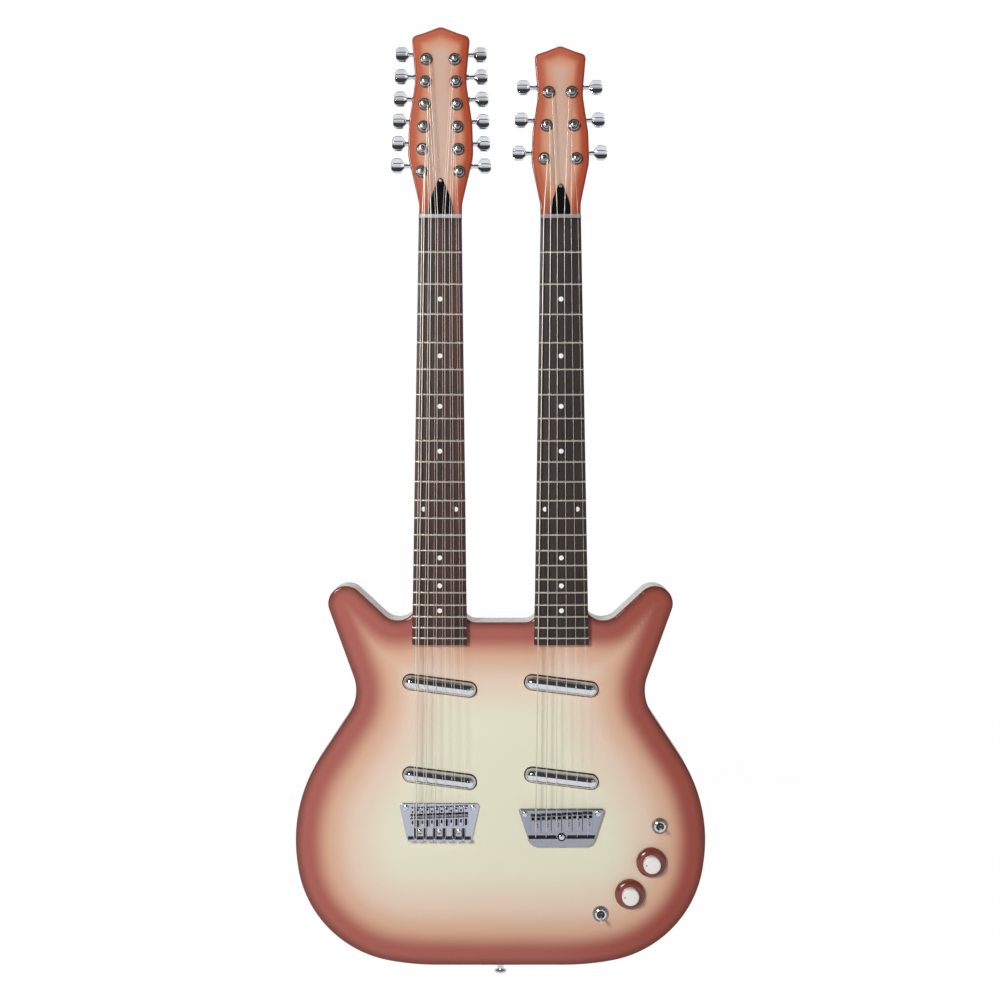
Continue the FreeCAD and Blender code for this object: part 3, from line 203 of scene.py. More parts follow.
# %% Room: dark in front, light behind and below
DULL_SHARE = 0.4
world = bpy.data.worlds.new("studio")
bpy.context.scene.world = world
world.use_nodes = True
tree = world.node_tree
tree.nodes.clear()
where = add_node(tree, "ShaderNodeTexCoord")
axes = add_node(tree, "ShaderNodeSeparateXYZ", {0: where.outputs["Generated"]}).outputs
behind = ranged(tree, axes["Y"], -0.45, 0.5, 0.06, 0.85)
below = ranged(tree, axes["Z"], -0.17, 0.02, 1.15, 0.0)
rays = add_node(tree, "ShaderNodeLightPath").outputs
room = add_node(tree, "ShaderNodeBackground", {
    "Color": math_node(tree, "MAXIMUM", behind, below),
    "Strength": ranged(tree, rays["Is Glossy Ray"], low=DULL_SHARE)})
white = add_node(tree, "ShaderNodeBackground", {"Color": (1, 1, 1, 1), "Strength": 1.0})
both = add_node(tree, "ShaderNodeMixShader", {
    0: rays["Is Camera Ray"], 1: room.outputs[0], 2: white.outputs[0]})
add_node(tree, "ShaderNodeOutputWorld", {"Surface": both.outputs[0]})
print("room", len(tree.nodes), "nodes")

# %% [markdown]
# ## Finishes that several materials share
# Three node groups do the repeated work, so that a change to one is a change to every finish that has it.
# `fine_wear` gives the tiny unevenness that keeps polished things from looking like computer glass.
# `sunburst` turns a distance from the rim into sprayed colour, with a darker, redder tint along the treble
# side:
# partly sprayed toner, partly painted shade of the key lamp on the left. A gradient texture could only make a
# round or a straight burst, but a spray gun follows the outline.
# `wood_grain` draws long fibres with dark pores.

# %% Group: fine wear
FLOAT, COLOR, BLACK = "NodeSocketFloat", "NodeSocketColor", (0, 0, 0, 1)


def new_group(name, inputs, outputs):
    group = bpy.data.node_groups.new(name, "ShaderNodeTree")
    for label, kind, value in inputs:
        socket = group.interface.new_socket(label, in_out="INPUT", socket_type=kind)
        socket.default_value = value
    for label, kind in outputs:
        group.interface.new_socket(label, in_out="OUTPUT", socket_type=kind)
    return group, group.nodes.new("NodeGroupInput").outputs, group.nodes.new("NodeGroupOutput").inputs


def place_on(tree):
    return add_node(tree, "ShaderNodeTexCoord").outputs["Object"]


def noise(tree, place, scale, **inputs):
    return add_node(tree, "ShaderNodeTexNoise", {"Vector": place, "Scale": scale, **inputs}).outputs["Fac"]


fine_wear, given, result = new_group(
    "fine_wear", [("Scale", FLOAT, 300.0), ("Smooth", FLOAT, 0.05), ("Rough", FLOAT, 0.15)],
    [("Roughness", FLOAT), ("Height", FLOAT)])
cloud = noise(fine_wear, place_on(fine_wear), given["Scale"], Detail=4.0, Roughness=0.6)
spread = ranged(fine_wear, cloud, 0.35, 0.75, given["Smooth"], given["Rough"])
fine_wear.links.new(spread, result["Roughness"])
fine_wear.links.new(cloud, result["Height"])
print(fine_wear.name, len(fine_wear.nodes), "nodes")

# %% Group: sunburst, the sprayed bands
BAND_STARTS_AND_ENDS = {
    "Copper": (0.5, 10.0), "Tan": (15.0, 39.0), "Peach": (32.0, 66.0), "Centre": (55.0, 110.0)}
DRIFT = 3.0

burst_inputs = [
    ("Distance", FLOAT, 0.0), ("Side", FLOAT, 0.0), ("Spread", FLOAT, 1.0), ("Edge", COLOR, BLACK)]
burst_inputs += [(label, COLOR, BLACK) for label in BAND_STARTS_AND_ENDS]
sunburst, given, result = new_group("sunburst", burst_inputs, [("Color", COLOR)])
drift = noise(sunburst, place_on(sunburst), 9.0, Detail=1.0)
drift = ranged(sunburst, drift, low=-DRIFT, high=DRIFT)
depth = math_node(sunburst, "DIVIDE", given["Distance"], given["Spread"])
depth = math_node(sunburst, "MINIMUM", depth, math_node(sunburst, "ADD", depth, drift))
color = given["Edge"]
for label, (start, end) in BAND_STARTS_AND_ENDS.items():
    color = mixed(sunburst, ranged(sunburst, depth, start, end, ease="SMOOTHSTEP"), color, given[label])
print(sunburst.name, len(BAND_STARTS_AND_ENDS), "bands")

# %% Group: sunburst, the toner and painted shade on the treble side
# The treble side comes out darker and redder near the rim: partly sprayed toner, partly painted shade of the
# key lamp on the left.
TREBLE_SHADE_AND_TONER = (0.80, 0.56, 0.46, 1)
treble = ranged(sunburst, given["Side"], 0.15, 0.85, ease="SMOOTHSTEP")
near_rim = ranged(sunburst, depth, 12.0, 34.0, 1.0, 0.0, ease="SMOOTHSTEP")
shaded_and_toned = mixed(sunburst, math_node(sunburst, "MULTIPLY", treble, near_rim), color, TREBLE_SHADE_AND_TONER, "MULTIPLY")
sunburst.links.new(shaded_and_toned, result["Color"])
print(sunburst.name, len(sunburst.nodes), "nodes")

# %% Group: wood grain
FIBRE_SCALES, BAND_SCALES, PORE_SCALES = (260, 260, 7), (70, 70, 2), (1500, 1500, 60)


def stretched(tree, place, scales):
    """The place on the piece, stretched along the neck."""
    return add_node(tree, "ShaderNodeMapping", {"Vector": place, "Scale": scales}).outputs[0]


wood_grain, given, result = new_group(
    "wood_grain",
    [("Dark", COLOR, BLACK), ("Light", COLOR, BLACK), ("Pores", COLOR, BLACK), ("Fineness", FLOAT, 1.0)],
    [("Color", COLOR), ("Height", FLOAT), ("Roughness", FLOAT)])
here = place_on(wood_grain)
fibres = noise(wood_grain, stretched(wood_grain, here, FIBRE_SCALES), given["Fineness"],
               Detail=5.0, Roughness=0.65, Distortion=0.4)
bands = noise(wood_grain, stretched(wood_grain, here, BAND_SCALES), 1.0, Detail=2.0)
tone = ranged(wood_grain, math_node(wood_grain, "ADD", fibres, bands), 0.75, 1.3)
base = mixed(wood_grain, tone, given["Dark"], given["Light"])
streaks = noise(wood_grain, stretched(wood_grain, here, PORE_SCALES), given["Fineness"], Detail=2.0)
pores = ranged(wood_grain, streaks, 0.60, 0.70)
wood_grain.links.new(mixed(wood_grain, pores, base, given["Pores"]), result["Color"])
wood_grain.links.new(math_node(wood_grain, "SUBTRACT", tone, pores), result["Height"])
wood_grain.links.new(ranged(wood_grain, pores, low=0.42, high=0.75), result["Roughness"])
print("groups", [group.name for group in bpy.data.node_groups])

# %% [markdown]
# ## Materials
# Each finish is one Principled shader with its own numbers. The shared groups only feed its colour,
# roughness and bump, so the shader's plain settings stay on its own sockets.

# %% Helpers that wire a group into a material
def use_group(material, group, values):
    return add_node(material.node_tree, "ShaderNodeGroup", values, node_tree=group).outputs


def drive(material, socket, output):
    material.node_tree.links.new(output, material.node_tree.nodes["Principled BSDF"].inputs[socket])


def bump(material, height, strength, distance):
    node = add_node(material.node_tree, "ShaderNodeBump", {
        "Strength": strength, "Distance": distance, "Height": height})
    drive(material, "Normal", node.outputs[0])


def polished(name, color, smooth, rough, metallic=0.0, scale=300.0, dent=0.0, coat=0.0):
    """A smooth finish whose gloss varies a little, with an optional very shallow unevenness."""
    material = new_material(name, color, smooth, metallic, coat)
    wear = use_group(material, fine_wear, {"Scale": scale, "Smooth": smooth, "Rough": rough})
    drive(material, "Roughness", wear["Roughness"])
    if dent:
        bump(material, wear["Height"], 0.3, dent)
    return material


# %% [markdown]
# ## Metals and plastics
# The tuners and pickups are bright chrome. The bridges are chromed too, but thinner and older, so they are
# greyer and duller. Strings are plain steel on the treble side and wound on the bass side. The knobs are
# moulded: a glossy red-brown ring below, a white cap above.

# %% Metals
chrome = polished("chrome", paint(206, 208, 215), 0.05, 0.12, 1.0, 220.0)
plate_chrome = polished("plate_chrome", paint(178, 181, 195), 0.10, 0.20, 1.0, 260.0)
tray_chrome = polished("tray_chrome", paint(152, 155, 167), 0.14, 0.24, 1.0, 260.0)
smoky_chrome = polished("smoky_chrome", paint(158, 156, 158), 0.16, 0.26, 1.0, 300.0)
satin_chrome = polished("satin_chrome", paint(214, 212, 208), 0.26, 0.36, 1.0, 300.0)
steel = polished("plain_steel", paint(200, 198, 192), 0.18, 0.30, 1.0, 400.0)
aged_steel = polished("aged_steel", paint(138, 136, 130), 0.24, 0.36, 1.0, 400.0)
nickel = polished("nickel_silver", paint(196, 190, 176), 0.22, 0.38, 1.0, 600.0)
brushed_nut = polished("brushed_aluminium", paint(146, 143, 150), 0.34, 0.50, 1.0, 900.0, 0.0002)
string_plain = polished("plain_string", paint(228, 224, 216), 0.34, 0.42, 1.0, 400.0)
string_wound = polished("wound_string", paint(210, 203, 190), 0.36, 0.46, 1.0, 400.0)
wraps = add_node(string_wound.node_tree, "ShaderNodeTexWave", {
    "Vector": place_on(string_wound.node_tree), "Scale": 330.0},
    wave_type="BANDS", bands_direction="Z", wave_profile="SIN")
bump(string_wound, wraps.outputs["Fac"], 0.2, 0.0001)
print("metals", len(bpy.data.materials) - 1)

# %% Plastics, and black for painted shade in hollows
black_gloss = polished("black_gloss", paint(8, 8, 9), 0.10, 0.18, 0.0, 200.0, coat=0.2)
# Near-black with no sheen, used as painted shade in slots, channels, gaps between saddles and switch mouths.
painted_shade_black = polished("painted_shade_black", paint(9, 8, 9), 0.7, 0.9)
red_brown = polished("red_brown_gloss", paint(120, 48, 36), 0.18, 0.28, 0.0, 200.0, 0.00004, coat=0.25)
white_gloss = polished("white_gloss", paint(232, 229, 224), 0.22, 0.32, 0.0, 200.0, coat=0.3)
grey_mark = polished("grey_mark", paint(120, 124, 126), 0.4, 0.5)
pearl = polished("pearl_white", paint(236, 236, 232), 0.2, 0.3, 0.0, 500.0)
print("the ring's colour is", [round(v, 3) for v in paint(120, 48, 36)])

# %% [markdown]
# ## Sunburst lacquer
# The top, the back and the necks are sprayed: nearly cream in the middle, then peach, tan, copper and a
# dark edge. Each mesh stores how far its points lie from the rim, and the group turns that into colour.
# `spread` narrows the whole burst for the necks. A clear coat gives the gloss, over a base that has none of
# its own.

# %% Lacquers
def lacquer(name, spread, edge, copper, tan, peach, centre):
    material = new_material(name, centre, 0.30, 0.0, 0.6, 0.05)
    tree = material.node_tree
    tree.nodes["Principled BSDF"].inputs["Specular IOR Level"].default_value = 0.0
    rim = add_node(tree, "ShaderNodeAttribute", attribute_name="rim")
    # The side-to-side place feeds the treble side's toner and painted shade.
    side = add_node(tree, "ShaderNodeAttribute", attribute_name="side")
    spray = use_group(material, sunburst, {
        "Distance": rim.outputs["Fac"], "Side": side.outputs["Fac"], "Spread": spread, "Edge": edge,
        "Copper": copper, "Tan": tan, "Peach": peach, "Centre": centre})
    drive(material, "Base Color", spray["Color"])
    wear = use_group(material, fine_wear, {"Scale": 45.0, "Smooth": 0.24, "Rough": 0.34})
    drive(material, "Roughness", wear["Roughness"])
    bump(material, wear["Height"], 0.04, 0.0003)
    return material


body_lacquer = lacquer("body_lacquer", 1.0, paint(120, 62, 53), paint(163, 89, 79), paint(208, 164, 137),
                       paint(221, 197, 177), paint(222, 219, 196))
back_lacquer = lacquer("back_lacquer", 1.3, paint(110, 56, 46), paint(146, 78, 62), paint(156, 86, 66),
                       paint(164, 94, 72), paint(170, 100, 76))
neck_lacquer = lacquer("neck_lacquer", 0.37, paint(146, 66, 50), paint(181, 98, 74), paint(204, 146, 116),
                       paint(200, 166, 149), paint(198, 174, 160))
print("burst on the neck ends after", round(0.37 * BAND_STARTS_AND_ENDS["Centre"][1]), "mm")

# %% [markdown]
# ## Wood and side tape
# The fingerboards are oiled rosewood, redder on the twelve-string neck. The sides are wrapped in grained
# vinyl tape. Its grain is a cell pattern: pale cells with darker, lower lines between them.

# %% Woods
def wooden(name, dark, light, pores, fineness, depth):
    material = new_material(name, light, 0.5)
    material.node_tree.nodes["Principled BSDF"].inputs["Specular IOR Level"].default_value = 0.3
    grain = use_group(material, wood_grain, {
        "Dark": dark, "Light": light, "Pores": pores, "Fineness": fineness})
    drive(material, "Base Color", grain["Color"])
    drive(material, "Roughness", grain["Roughness"])
    bump(material, grain["Height"], 0.35, depth)
    return material


red_rosewood = wooden("red_rosewood", paint(36, 19, 18), paint(80, 46, 42), paint(22, 12, 12), 1.0, 0.00025)
dark_rosewood = wooden("dark_rosewood", paint(26, 19, 19), paint(56, 42, 39), paint(16, 11, 11), 1.0, 0.00025)
core_wood = wooden("core_wood", paint(90, 66, 44), paint(132, 100, 68), paint(70, 48, 32), 0.5, 0.0002)
print("woods", red_rosewood.name, dark_rosewood.name, core_wood.name)

# %% Side tape
side_vinyl = new_material("side_vinyl", paint(222, 222, 218), 0.5)
tree = side_vinyl.node_tree
cells = add_node(tree, "ShaderNodeTexVoronoi", {"Vector": place_on(tree), "Scale": 620.0},
                 feature="DISTANCE_TO_EDGE")
tint = ranged(tree, cells.outputs["Distance"], end=0.12)
drive(side_vinyl, "Base Color", mixed(tree, tint, paint(176, 176, 172), paint(226, 226, 222)))
bump(side_vinyl, tint, 0.5, 0.0004)
print("materials", len(bpy.data.materials))

# %% [markdown]
# ## Mesh helpers
# A `Shell` gathers closed forms in millimetres. When it is finished it becomes one Blender object whose
# place is in its mesh: doubles merged, normals turned outwards, edges softened and sharp ones marked.

# %% Shell: from points and faces to a finished piece
class Shell:
    def __init__(self, move=None):
        self.points, self.faces, self.slots = [], [], []
        self.move = move or Matrix()

    def add(self, points, faces, slot=0, move=None):
        start = len(self.points)
        matrix = self.move @ (move or Matrix())
        self.points += [matrix @ Vector(point) for point in points]
        self.faces += [tuple(start + index for index in face) for face in faces]
        self.slots += [slot] * len(faces)
        return self

    def mesh(self, name, merge=0.0004):
        mesh = bpy.data.meshes.new(name)
        mesh.from_pydata([point * MM for point in self.points], [], self.faces)
        mesh.polygons.foreach_set("material_index", self.slots)
        work = bmesh.new()
        work.from_mesh(mesh)
        bmesh.ops.remove_doubles(work, verts=work.verts, dist=merge * MM)
        bmesh.ops.recalc_face_normals(work, faces=work.faces)
        work.to_mesh(mesh)
        work.free()
        return mesh


def link(name, mesh, materials):
    for material in materials:
        mesh.materials.append(material)
    piece = bpy.data.objects.new(name, mesh)
    bpy.context.collection.objects.link(piece)
    return piece


def flatten(piece):
    """Turns a piece with modifiers into a plain mesh with the same shape."""
    ready = bpy.data.meshes.new_from_object(piece.evaluated_get(bpy.context.evaluated_depsgraph_get()))
    piece.modifiers.clear()
    piece.data = ready


def soften(piece, width, segments=2, angle=35):
    """Rounds the sharp edges, as every cast, stamped or sanded edge is."""
    edge = piece.modifiers.new("soft_edges", "BEVEL")
    edge.width = width * MM
    edge.segments = segments
    edge.limit_method = "ANGLE"
    edge.angle_limit = math.radians(angle)
    edge.harden_normals = False
    flatten(piece)


def finish_piece(piece, body, nodes=(), slot=None, sharp=40):
    piece.data.shade_smooth()
    piece.data.set_sharp_from_angle(angle=math.radians(sharp))
    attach(piece, body)
    if nodes:
        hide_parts(*nodes)
    print(piece.name, len(piece.data.polygons), "faces")
    return piece


def dress(name, shell, materials, *finish, merge=0.0004):
    """A shell becomes a linked and finished piece: body, CAD nodes, slot (not used) and smoothing angle."""
    return finish_piece(link(name, shell.mesh(name, merge), materials), *finish)


# %% Forms: turned, swept, boxed
def turned(profile, sides=32):
    """Lathe form round local Z. The profile runs from one end to the other as (radius, height)."""
    points, faces, rings = [], [], []
    for radius, height in profile:
        if radius < 1e-6:
            rings.append([len(points)] * sides)
            points.append((0, 0, height))
        else:
            rings.append(list(range(len(points), len(points) + sides)))
            for k in range(sides):
                turn = 2 * math.pi * k / sides
                points.append((radius * math.cos(turn), radius * math.sin(turn), height))
    for low, high in zip(rings, rings[1:]):
        for k in range(sides):
            corners = [low[k], low[(k + 1) % sides], high[(k + 1) % sides], high[k]]
            face = list(dict.fromkeys(corners))
            if len(face) > 2:
                faces.append(face)
    return points, faces


def lathed(profile, sides=32, move=None, place=None):
    """A shell that holds one turned form."""
    return Shell(place).add(*turned(profile, sides), move=move)


def box_form(low, high):
    points = [(x, y, z) for x in (low[0], high[0]) for y in (low[1], high[1]) for z in (low[2], high[2])]
    return points, [(0, 1, 3, 2), (4, 6, 7, 5), (0, 4, 5, 1), (2, 3, 7, 6), (0, 2, 6, 4), (1, 5, 7, 3)]


def swept(path, radius, sides=8):
    """Round wire along a list of points, with closed ends and without twist."""
    path = [Vector(point) for point in path]
    points, faces = [], []
    along = (path[1] - path[0]).normalized()
    across = along.orthogonal().normalized()
    for i, point in enumerate(path):
        before = path[max(i - 1, 0)]
        after = path[min(i + 1, len(path) - 1)]
        turned_along = (after - before).normalized()
        across = (along.rotation_difference(turned_along) @ across).normalized()
        along = turned_along
        up = along.cross(across)
        for k in range(sides):
            turn = 2 * math.pi * k / sides
            points.append(point + (across * math.cos(turn) + up * math.sin(turn)) * radius)
    for i in range(len(path) - 1):
        for k in range(sides):
            low, high, following = i * sides, (i + 1) * sides, (k + 1) % sides
            faces.append((low + k, low + following, high + following, high + k))
    faces.append(tuple(range(sides))[::-1])
    faces.append(tuple(range(len(points) - sides, len(points))))
    return points, faces


def facing(x, y, z, out=(0, -1, 0), turn=0.0):
    """Matrix that sets a form's local Z along `out`, its foot at a place, turned about its own axis."""
    swing = Vector(out).to_track_quat("Z", "Y").to_matrix().to_4x4()
    return Matrix.Translation((x, y, z)) @ swing @ Matrix.Rotation(turn, 4, "Z")


print("a turned disc has", len(turned([(0, 0), (1, 0), (1, 1), (0, 1)])[1]), "faces")


# %% Outlines with rounded corners
def rounded_outline(corners, chord=3.0, step=5.0):
    """Points round a closed outline whose corners are (x, z, radius); neighbouring arcs shrink to fit."""
    count = len(corners)
    tips = [Vector((x, z)) for x, z, radius in corners]
    halves, setbacks = [], []
    for i in range(count):
        before, after = tips[i - 1] - tips[i], tips[(i + 1) % count] - tips[i]
        halves.append(before.angle(after) / 2)
        setbacks.append(corners[i][2] / math.tan(halves[i]))
    fits = []
    for i in range(count):
        following = (i + 1) % count
        wanted = setbacks[i] + setbacks[following]
        side = (tips[following] - tips[i]).length
        fits.append(min(1.0, side / wanted) if wanted > 0 else 1.0)
    points = []
    for i in range(count):
        setback = setbacks[i] * min(fits[i - 1], fits[i])
        if setback <= 0:
            points.append(tips[i])
            continue
        radius = setback * math.tan(halves[i])
        before = (tips[i - 1] - tips[i]).normalized()
        after = (tips[(i + 1) % count] - tips[i]).normalized()
        centre = tips[i] + (before + after).normalized() * (radius / math.sin(halves[i]))
        start, end = tips[i] + before * setback - centre, tips[i] + after * setback - centre
        sweep_angle = math.pi - 2 * halves[i]
        parts = max(2, math.ceil(sweep_angle / math.radians(step)), math.ceil(sweep_angle * radius / chord))
        way = 1 if start.x * end.y - start.y * end.x > 0 else -1
        for k in range(parts + 1):
            turn = way * sweep_angle * k / parts
            points.append(centre + Vector((start.x * math.cos(turn) - start.y * math.sin(turn),
                                           start.x * math.sin(turn) + start.y * math.cos(turn))))
    kept = [point for i, point in enumerate(points) if (point - points[i - 1]).length > 0.02]
    area = sum(a.x * b.y - b.x * a.y for a, b in zip(kept, kept[1:] + kept[:1]))
    return kept if area > 0 else kept[::-1]


def mirrored(right_side):
    return right_side + [(-x, z, radius) for x, z, radius in reversed(right_side)]


def inset(outline, distance):
    """The outline moved inwards; it runs counter-clockwise, so inwards is to its left."""
    moved = []
    for i, point in enumerate(outline):
        before = (point - outline[i - 1]).normalized()
        after = (outline[(i + 1) % len(outline)] - point).normalized()
        left_a, left_b = Vector((-before.y, before.x)), Vector((-after.y, after.x))
        middle = (left_a + left_b).normalized()
        moved.append(point + middle * (distance / max(middle.dot(left_a), 0.3)))
    return moved


def inside(outline, x, z):
    """Whether each point lies inside: a line from it crosses the outline an odd number of times."""
    a = np.array([tuple(point) for point in outline])
    b = np.roll(a, -1, axis=0)
    x, z = np.asarray(x)[:, None], np.asarray(z)[:, None]
    crosses = (a[:, 1] > z) != (b[:, 1] > z)
    rise = np.where(b[:, 1] == a[:, 1], 1e-9, b[:, 1] - a[:, 1])
    return (crosses & (x < (b[:, 0] - a[:, 0]) * (z - a[:, 1]) / rise + a[:, 0])).sum(1) % 2 == 1


def rim_distance(outline, x, z):
    """How far each point lies from the nearest side of the outline."""
    a = np.array([tuple(point) for point in outline])
    along = np.roll(a, -1, axis=0) - a
    p = np.stack([np.asarray(x), np.asarray(z)], 1)[:, None, :] - a
    share = np.clip((p * along).sum(2) / (along ** 2).sum(1), 0, 1)
    return np.sqrt(((p - share[:, :, None] * along) ** 2).sum(2)).min(1)


# %% [markdown]
# ## Slabs
# Body, headstocks, covers and bridge plates are all flat plates with a rounded rim. A Solidify and a Bevel
# could make that, but would leave one big face in the middle. A triangulation with extra points inside is
# used instead, because the sunburst is stored on the points.

# %% Filling an outline
def flat_fill(outline, holes, spacing):
    """Triangles between an outline and its holes, with a grid of points inside for the colours."""
    loops = [outline] + list(holes)
    points = [Vector(point) for loop in loops for point in loop]
    edges, start = [], 0
    for loop in loops:
        edges += [(start + i, start + (i + 1) % len(loop)) for i in range(len(loop))]
        start += len(loop)
    if spacing:
        low = np.min([tuple(point) for point in outline], axis=0)
        high = np.max([tuple(point) for point in outline], axis=0)
        columns, rows = (np.arange(low[axis], high[axis], spacing) for axis in (0, 1))
        grid_x, grid_z = (grid.ravel() for grid in np.meshgrid(columns, rows))
        keep = inside(outline, grid_x, grid_z) & (rim_distance(outline, grid_x, grid_z) > spacing * 0.4)
        for hole in holes:
            keep &= ~inside(hole, grid_x, grid_z) & (rim_distance(hole, grid_x, grid_z) > spacing * 0.3)
        points += [Vector((x, z)) for x, z in zip(grid_x[keep], grid_z[keep])]
    made, _, faces, _, _, _ = delaunay_2d_cdt(points, edges, [], 0, 1e-4)
    centres = np.array([tuple((made[a] + made[b] + made[c]) / 3) for a, b, c in faces])
    keep = inside(outline, centres[:, 0], centres[:, 1])
    for hole in holes:
        keep &= ~inside(hole, centres[:, 0], centres[:, 1])
    return made, [face for face, kept in zip(faces, keep) if kept]


# %% Slab form
RIM_STEP = 0.06


def slab(outline, y_front, y_back, round_front, round_back, holes=(), spacing=0, steps=5):
    """Plate between two planes with rounded rims and straight-walled holes."""
    rings = []
    for radius, y, way in ((round_front, y_front, 1), (round_back, y_back, -1)):
        side = []
        if radius:
            for k in range(steps + 1):
                turn = math.pi / 2 * k / steps
                side.append((radius * (1 - math.cos(turn)), y + way * radius * (1 - math.sin(turn))))
            side.append((radius + RIM_STEP, y))
        else:
            side.append((0, y))
        rings.append(side)
    levels = rings[0][::-1] + rings[1]
    points, faces = [], []
    count = len(outline)
    for depth, y in levels:
        points += [(p.x, y, p.y) for p in (inset(outline, depth) if depth else outline)]
    for level in range(len(levels) - 1):
        for i in range(count):
            following = (i + 1) % count
            low, high = level * count, (level + 1) * count
            faces.append((low + i, low + following, high + following, high + i))
    for depth, y in (levels[0], levels[-1]):
        made, triangles = flat_fill(inset(outline, depth) if depth else outline, holes, spacing)
        start = len(points)
        points += [(p.x, y, p.y) for p in made]
        faces += [tuple(start + index for index in face) for face in triangles]
    for hole in holes:
        start = len(points)
        points += [(p.x, y, p.y) for y in (y_front, y_back) for p in hole]
        size = len(hole)
        for i in range(size):
            following = (i + 1) % size
            faces.append((start + i, start + following, start + size + following, start + i + size))
    return points, faces


def store_rim(mesh, outline, back_to_local=None):
    """Writes each point's distance from the rim in millimetres, and its place from side to side."""
    places = np.zeros(len(mesh.vertices) * 3)
    mesh.vertices.foreach_get("co", places)
    places = places.reshape(-1, 3) / MM
    if back_to_local:
        turn = np.array(back_to_local.to_3x3())
        places = places @ turn.T + np.array(back_to_local.translation)
    distance = rim_distance(outline, places[:, 0], places[:, 2])
    mesh.attributes.new("rim", "FLOAT", "POINT").data.foreach_set("value", distance.astype(np.float32))
    # The side-to-side place drives the toner and painted shade on the treble side.
    across = places[:, 0] / max(point.x for point in outline)
    mesh.attributes.new("side", "FLOAT", "POINT").data.foreach_set("value", across.astype(np.float32))


# %% [markdown]
# ## The two necks' places
# Each neck is built on its own centre line and then swung by a fifth of a degree, so that the necks lean
# together slightly towards the headstocks, as they do on the real guitar. Heights run from the body's foot,
# and depths from the middle of its side: minus is towards the viewer.

# %% Heights and depths that both necks share
NUT_Z = 805.0
LINE_Z = 170.0
SCALE = 635.0
FRETS = 21
BOARD_END_Z = NUT_Z - SCALE * (1 - 2 ** (-FRETS / 12)) - 7.5
SHOULDER_Z, HEEL_TOP_Z = 392, 391
TONGUE = 30
FACE_Y, BACK_Y, PLATE_THICK = -22.0, 22.0, 3.2
BOARD_Y, BOARD_UNDER_Y = -31.0, -26.0
HEAD_FACE_Y, HEAD_BACK_Y = -23.5, -9.5
CROWN = 305.0
NUT_DEPTH = 3.8
NECK_SPREAD, LEAN = 65.9, 0.2
COURSES = 6
print("board ends", round(SHOULDER_Z - BOARD_END_Z, 1), "mm below the body's shoulder")

# %% Sizes of the two necks
twelve = {
    "name": "12", "side": -1, "nut": 45.5, "end": 58.9, "head_length": 201.5, "head_half": 34.0,
    "cover_length": 41.0, "cover_half": 13.0, "rows": 6, "first_post": 49.6, "post_pitch": 23.5,
    "post_half": 19.95, "post_closing": 1.0, "plate_top_width": 87.6, "plate_foot_width": 70.4,
    "plate_top": 178.6, "plate_foot": 138.4, "plate_corner": 3.5, "plate_foot_corner": 3.0,
    "setback": 5.5, "front": 10.4, "rear": 11.0, "nut_pitch": 7.2, "bridge_pitch": 10.4,
    "nut_gap": 1.15, "bridge_gap": 1.45, "wound": (1, 3, 5),
    "gauges": [0.66, 1.17, 0.46, 0.91, 0.30, 0.66, 0.20, 0.43, 0.33, 0.33, 0.25, 0.25]}
six = {
    "name": "6", "side": 1, "nut": 42.8, "end": 58.4, "head_length": 181.6, "head_half": 30.0,
    "cover_length": 35.6, "cover_half": 10.5, "rows": 3, "first_post": 63.3, "post_pitch": 34.7,
    "post_half": 17.05, "post_closing": 2.5, "plate_top_width": 93.8, "plate_foot_width": 67.0,
    "plate_top": 172.6, "plate_foot": 130.9, "plate_corner": 2.5, "plate_foot_corner": 11.0,
    "setback": 8.0, "front": 5.5, "rear": 14.0, "nut_pitch": 7.2, "bridge_pitch": 11.2,
    "nut_gap": 0, "bridge_gap": 0, "wound": (0, 1, 2),
    "gauges": [1.17, 0.91, 0.66, 0.43, 0.33, 0.25]}
necks = [twelve, six]
for neck in necks:
    lean = Matrix.Rotation(math.radians(-neck["side"] * LEAN), 4, "Y")
    to_line = Matrix.Translation((neck["side"] * NECK_SPREAD, 0, LINE_Z))
    neck["place"] = to_line @ lean @ Matrix.Translation((0, 0, -LINE_Z))
    print("neck", neck["name"], [round(v, 1) for v in neck["place"] @ Vector((0, 0, NUT_Z))])

# %% [markdown]
# ## Body
# The top is hardboard with a softly rounded rim. The outline is the CAD one: a few corners with radii,
# given as shares of half the body's width and of its height. Four slots let the pickups through. The back
# is the same plate, thinner at its rim, and a strip of grained vinyl closes the side between them.

# %% Body outline
BODY_WIDTH, BODY_HEIGHT = 444.0, 413.7
SHOULDER_HALF, SHOULDER_RADIUS, SHOULDER_FOOT = 22, 5, (31, 374.5, 13)
BOUT_SHARES = [(0.493, 0.889, 0.095), (0.949, 1.117, 0.086), (0.679, 0.712, 0.205), (1.029, 0.429, 0.760),
               (0.939, 0.051, 0.550), (0.427, 0.000, 1.290)]


def body_outline():
    half = BODY_WIDTH / 2
    middle = NECK_SPREAD - (SHOULDER_Z - LINE_Z) * math.tan(math.radians(LEAN))
    in_step, foot_z, foot_radius = SHOULDER_FOOT
    right = [(middle - in_step, foot_z, foot_radius)]
    right += [(middle + side * SHOULDER_HALF, SHOULDER_Z, SHOULDER_RADIUS) for side in (-1, 1)]
    right += [(x * half, z * BODY_HEIGHT, radius * half) for x, z, radius in BOUT_SHARES]
    return rounded_outline(mirrored(right))


outline = body_outline()
print("outline", len(outline), "points")

# %% Pickup slots
PICKUP_LENGTH, PICKUP_DIAMETER, SLOT_GAP, SLANT = 79.0, 15.6, 1.2, 7.2
PICKUP_HEIGHTS = (306.0, 205.5)


def slanted(neck, height):
    return neck["place"] @ Matrix.Translation((0, 0, height)) @ Matrix.Rotation(math.radians(SLANT), 4, "Y")


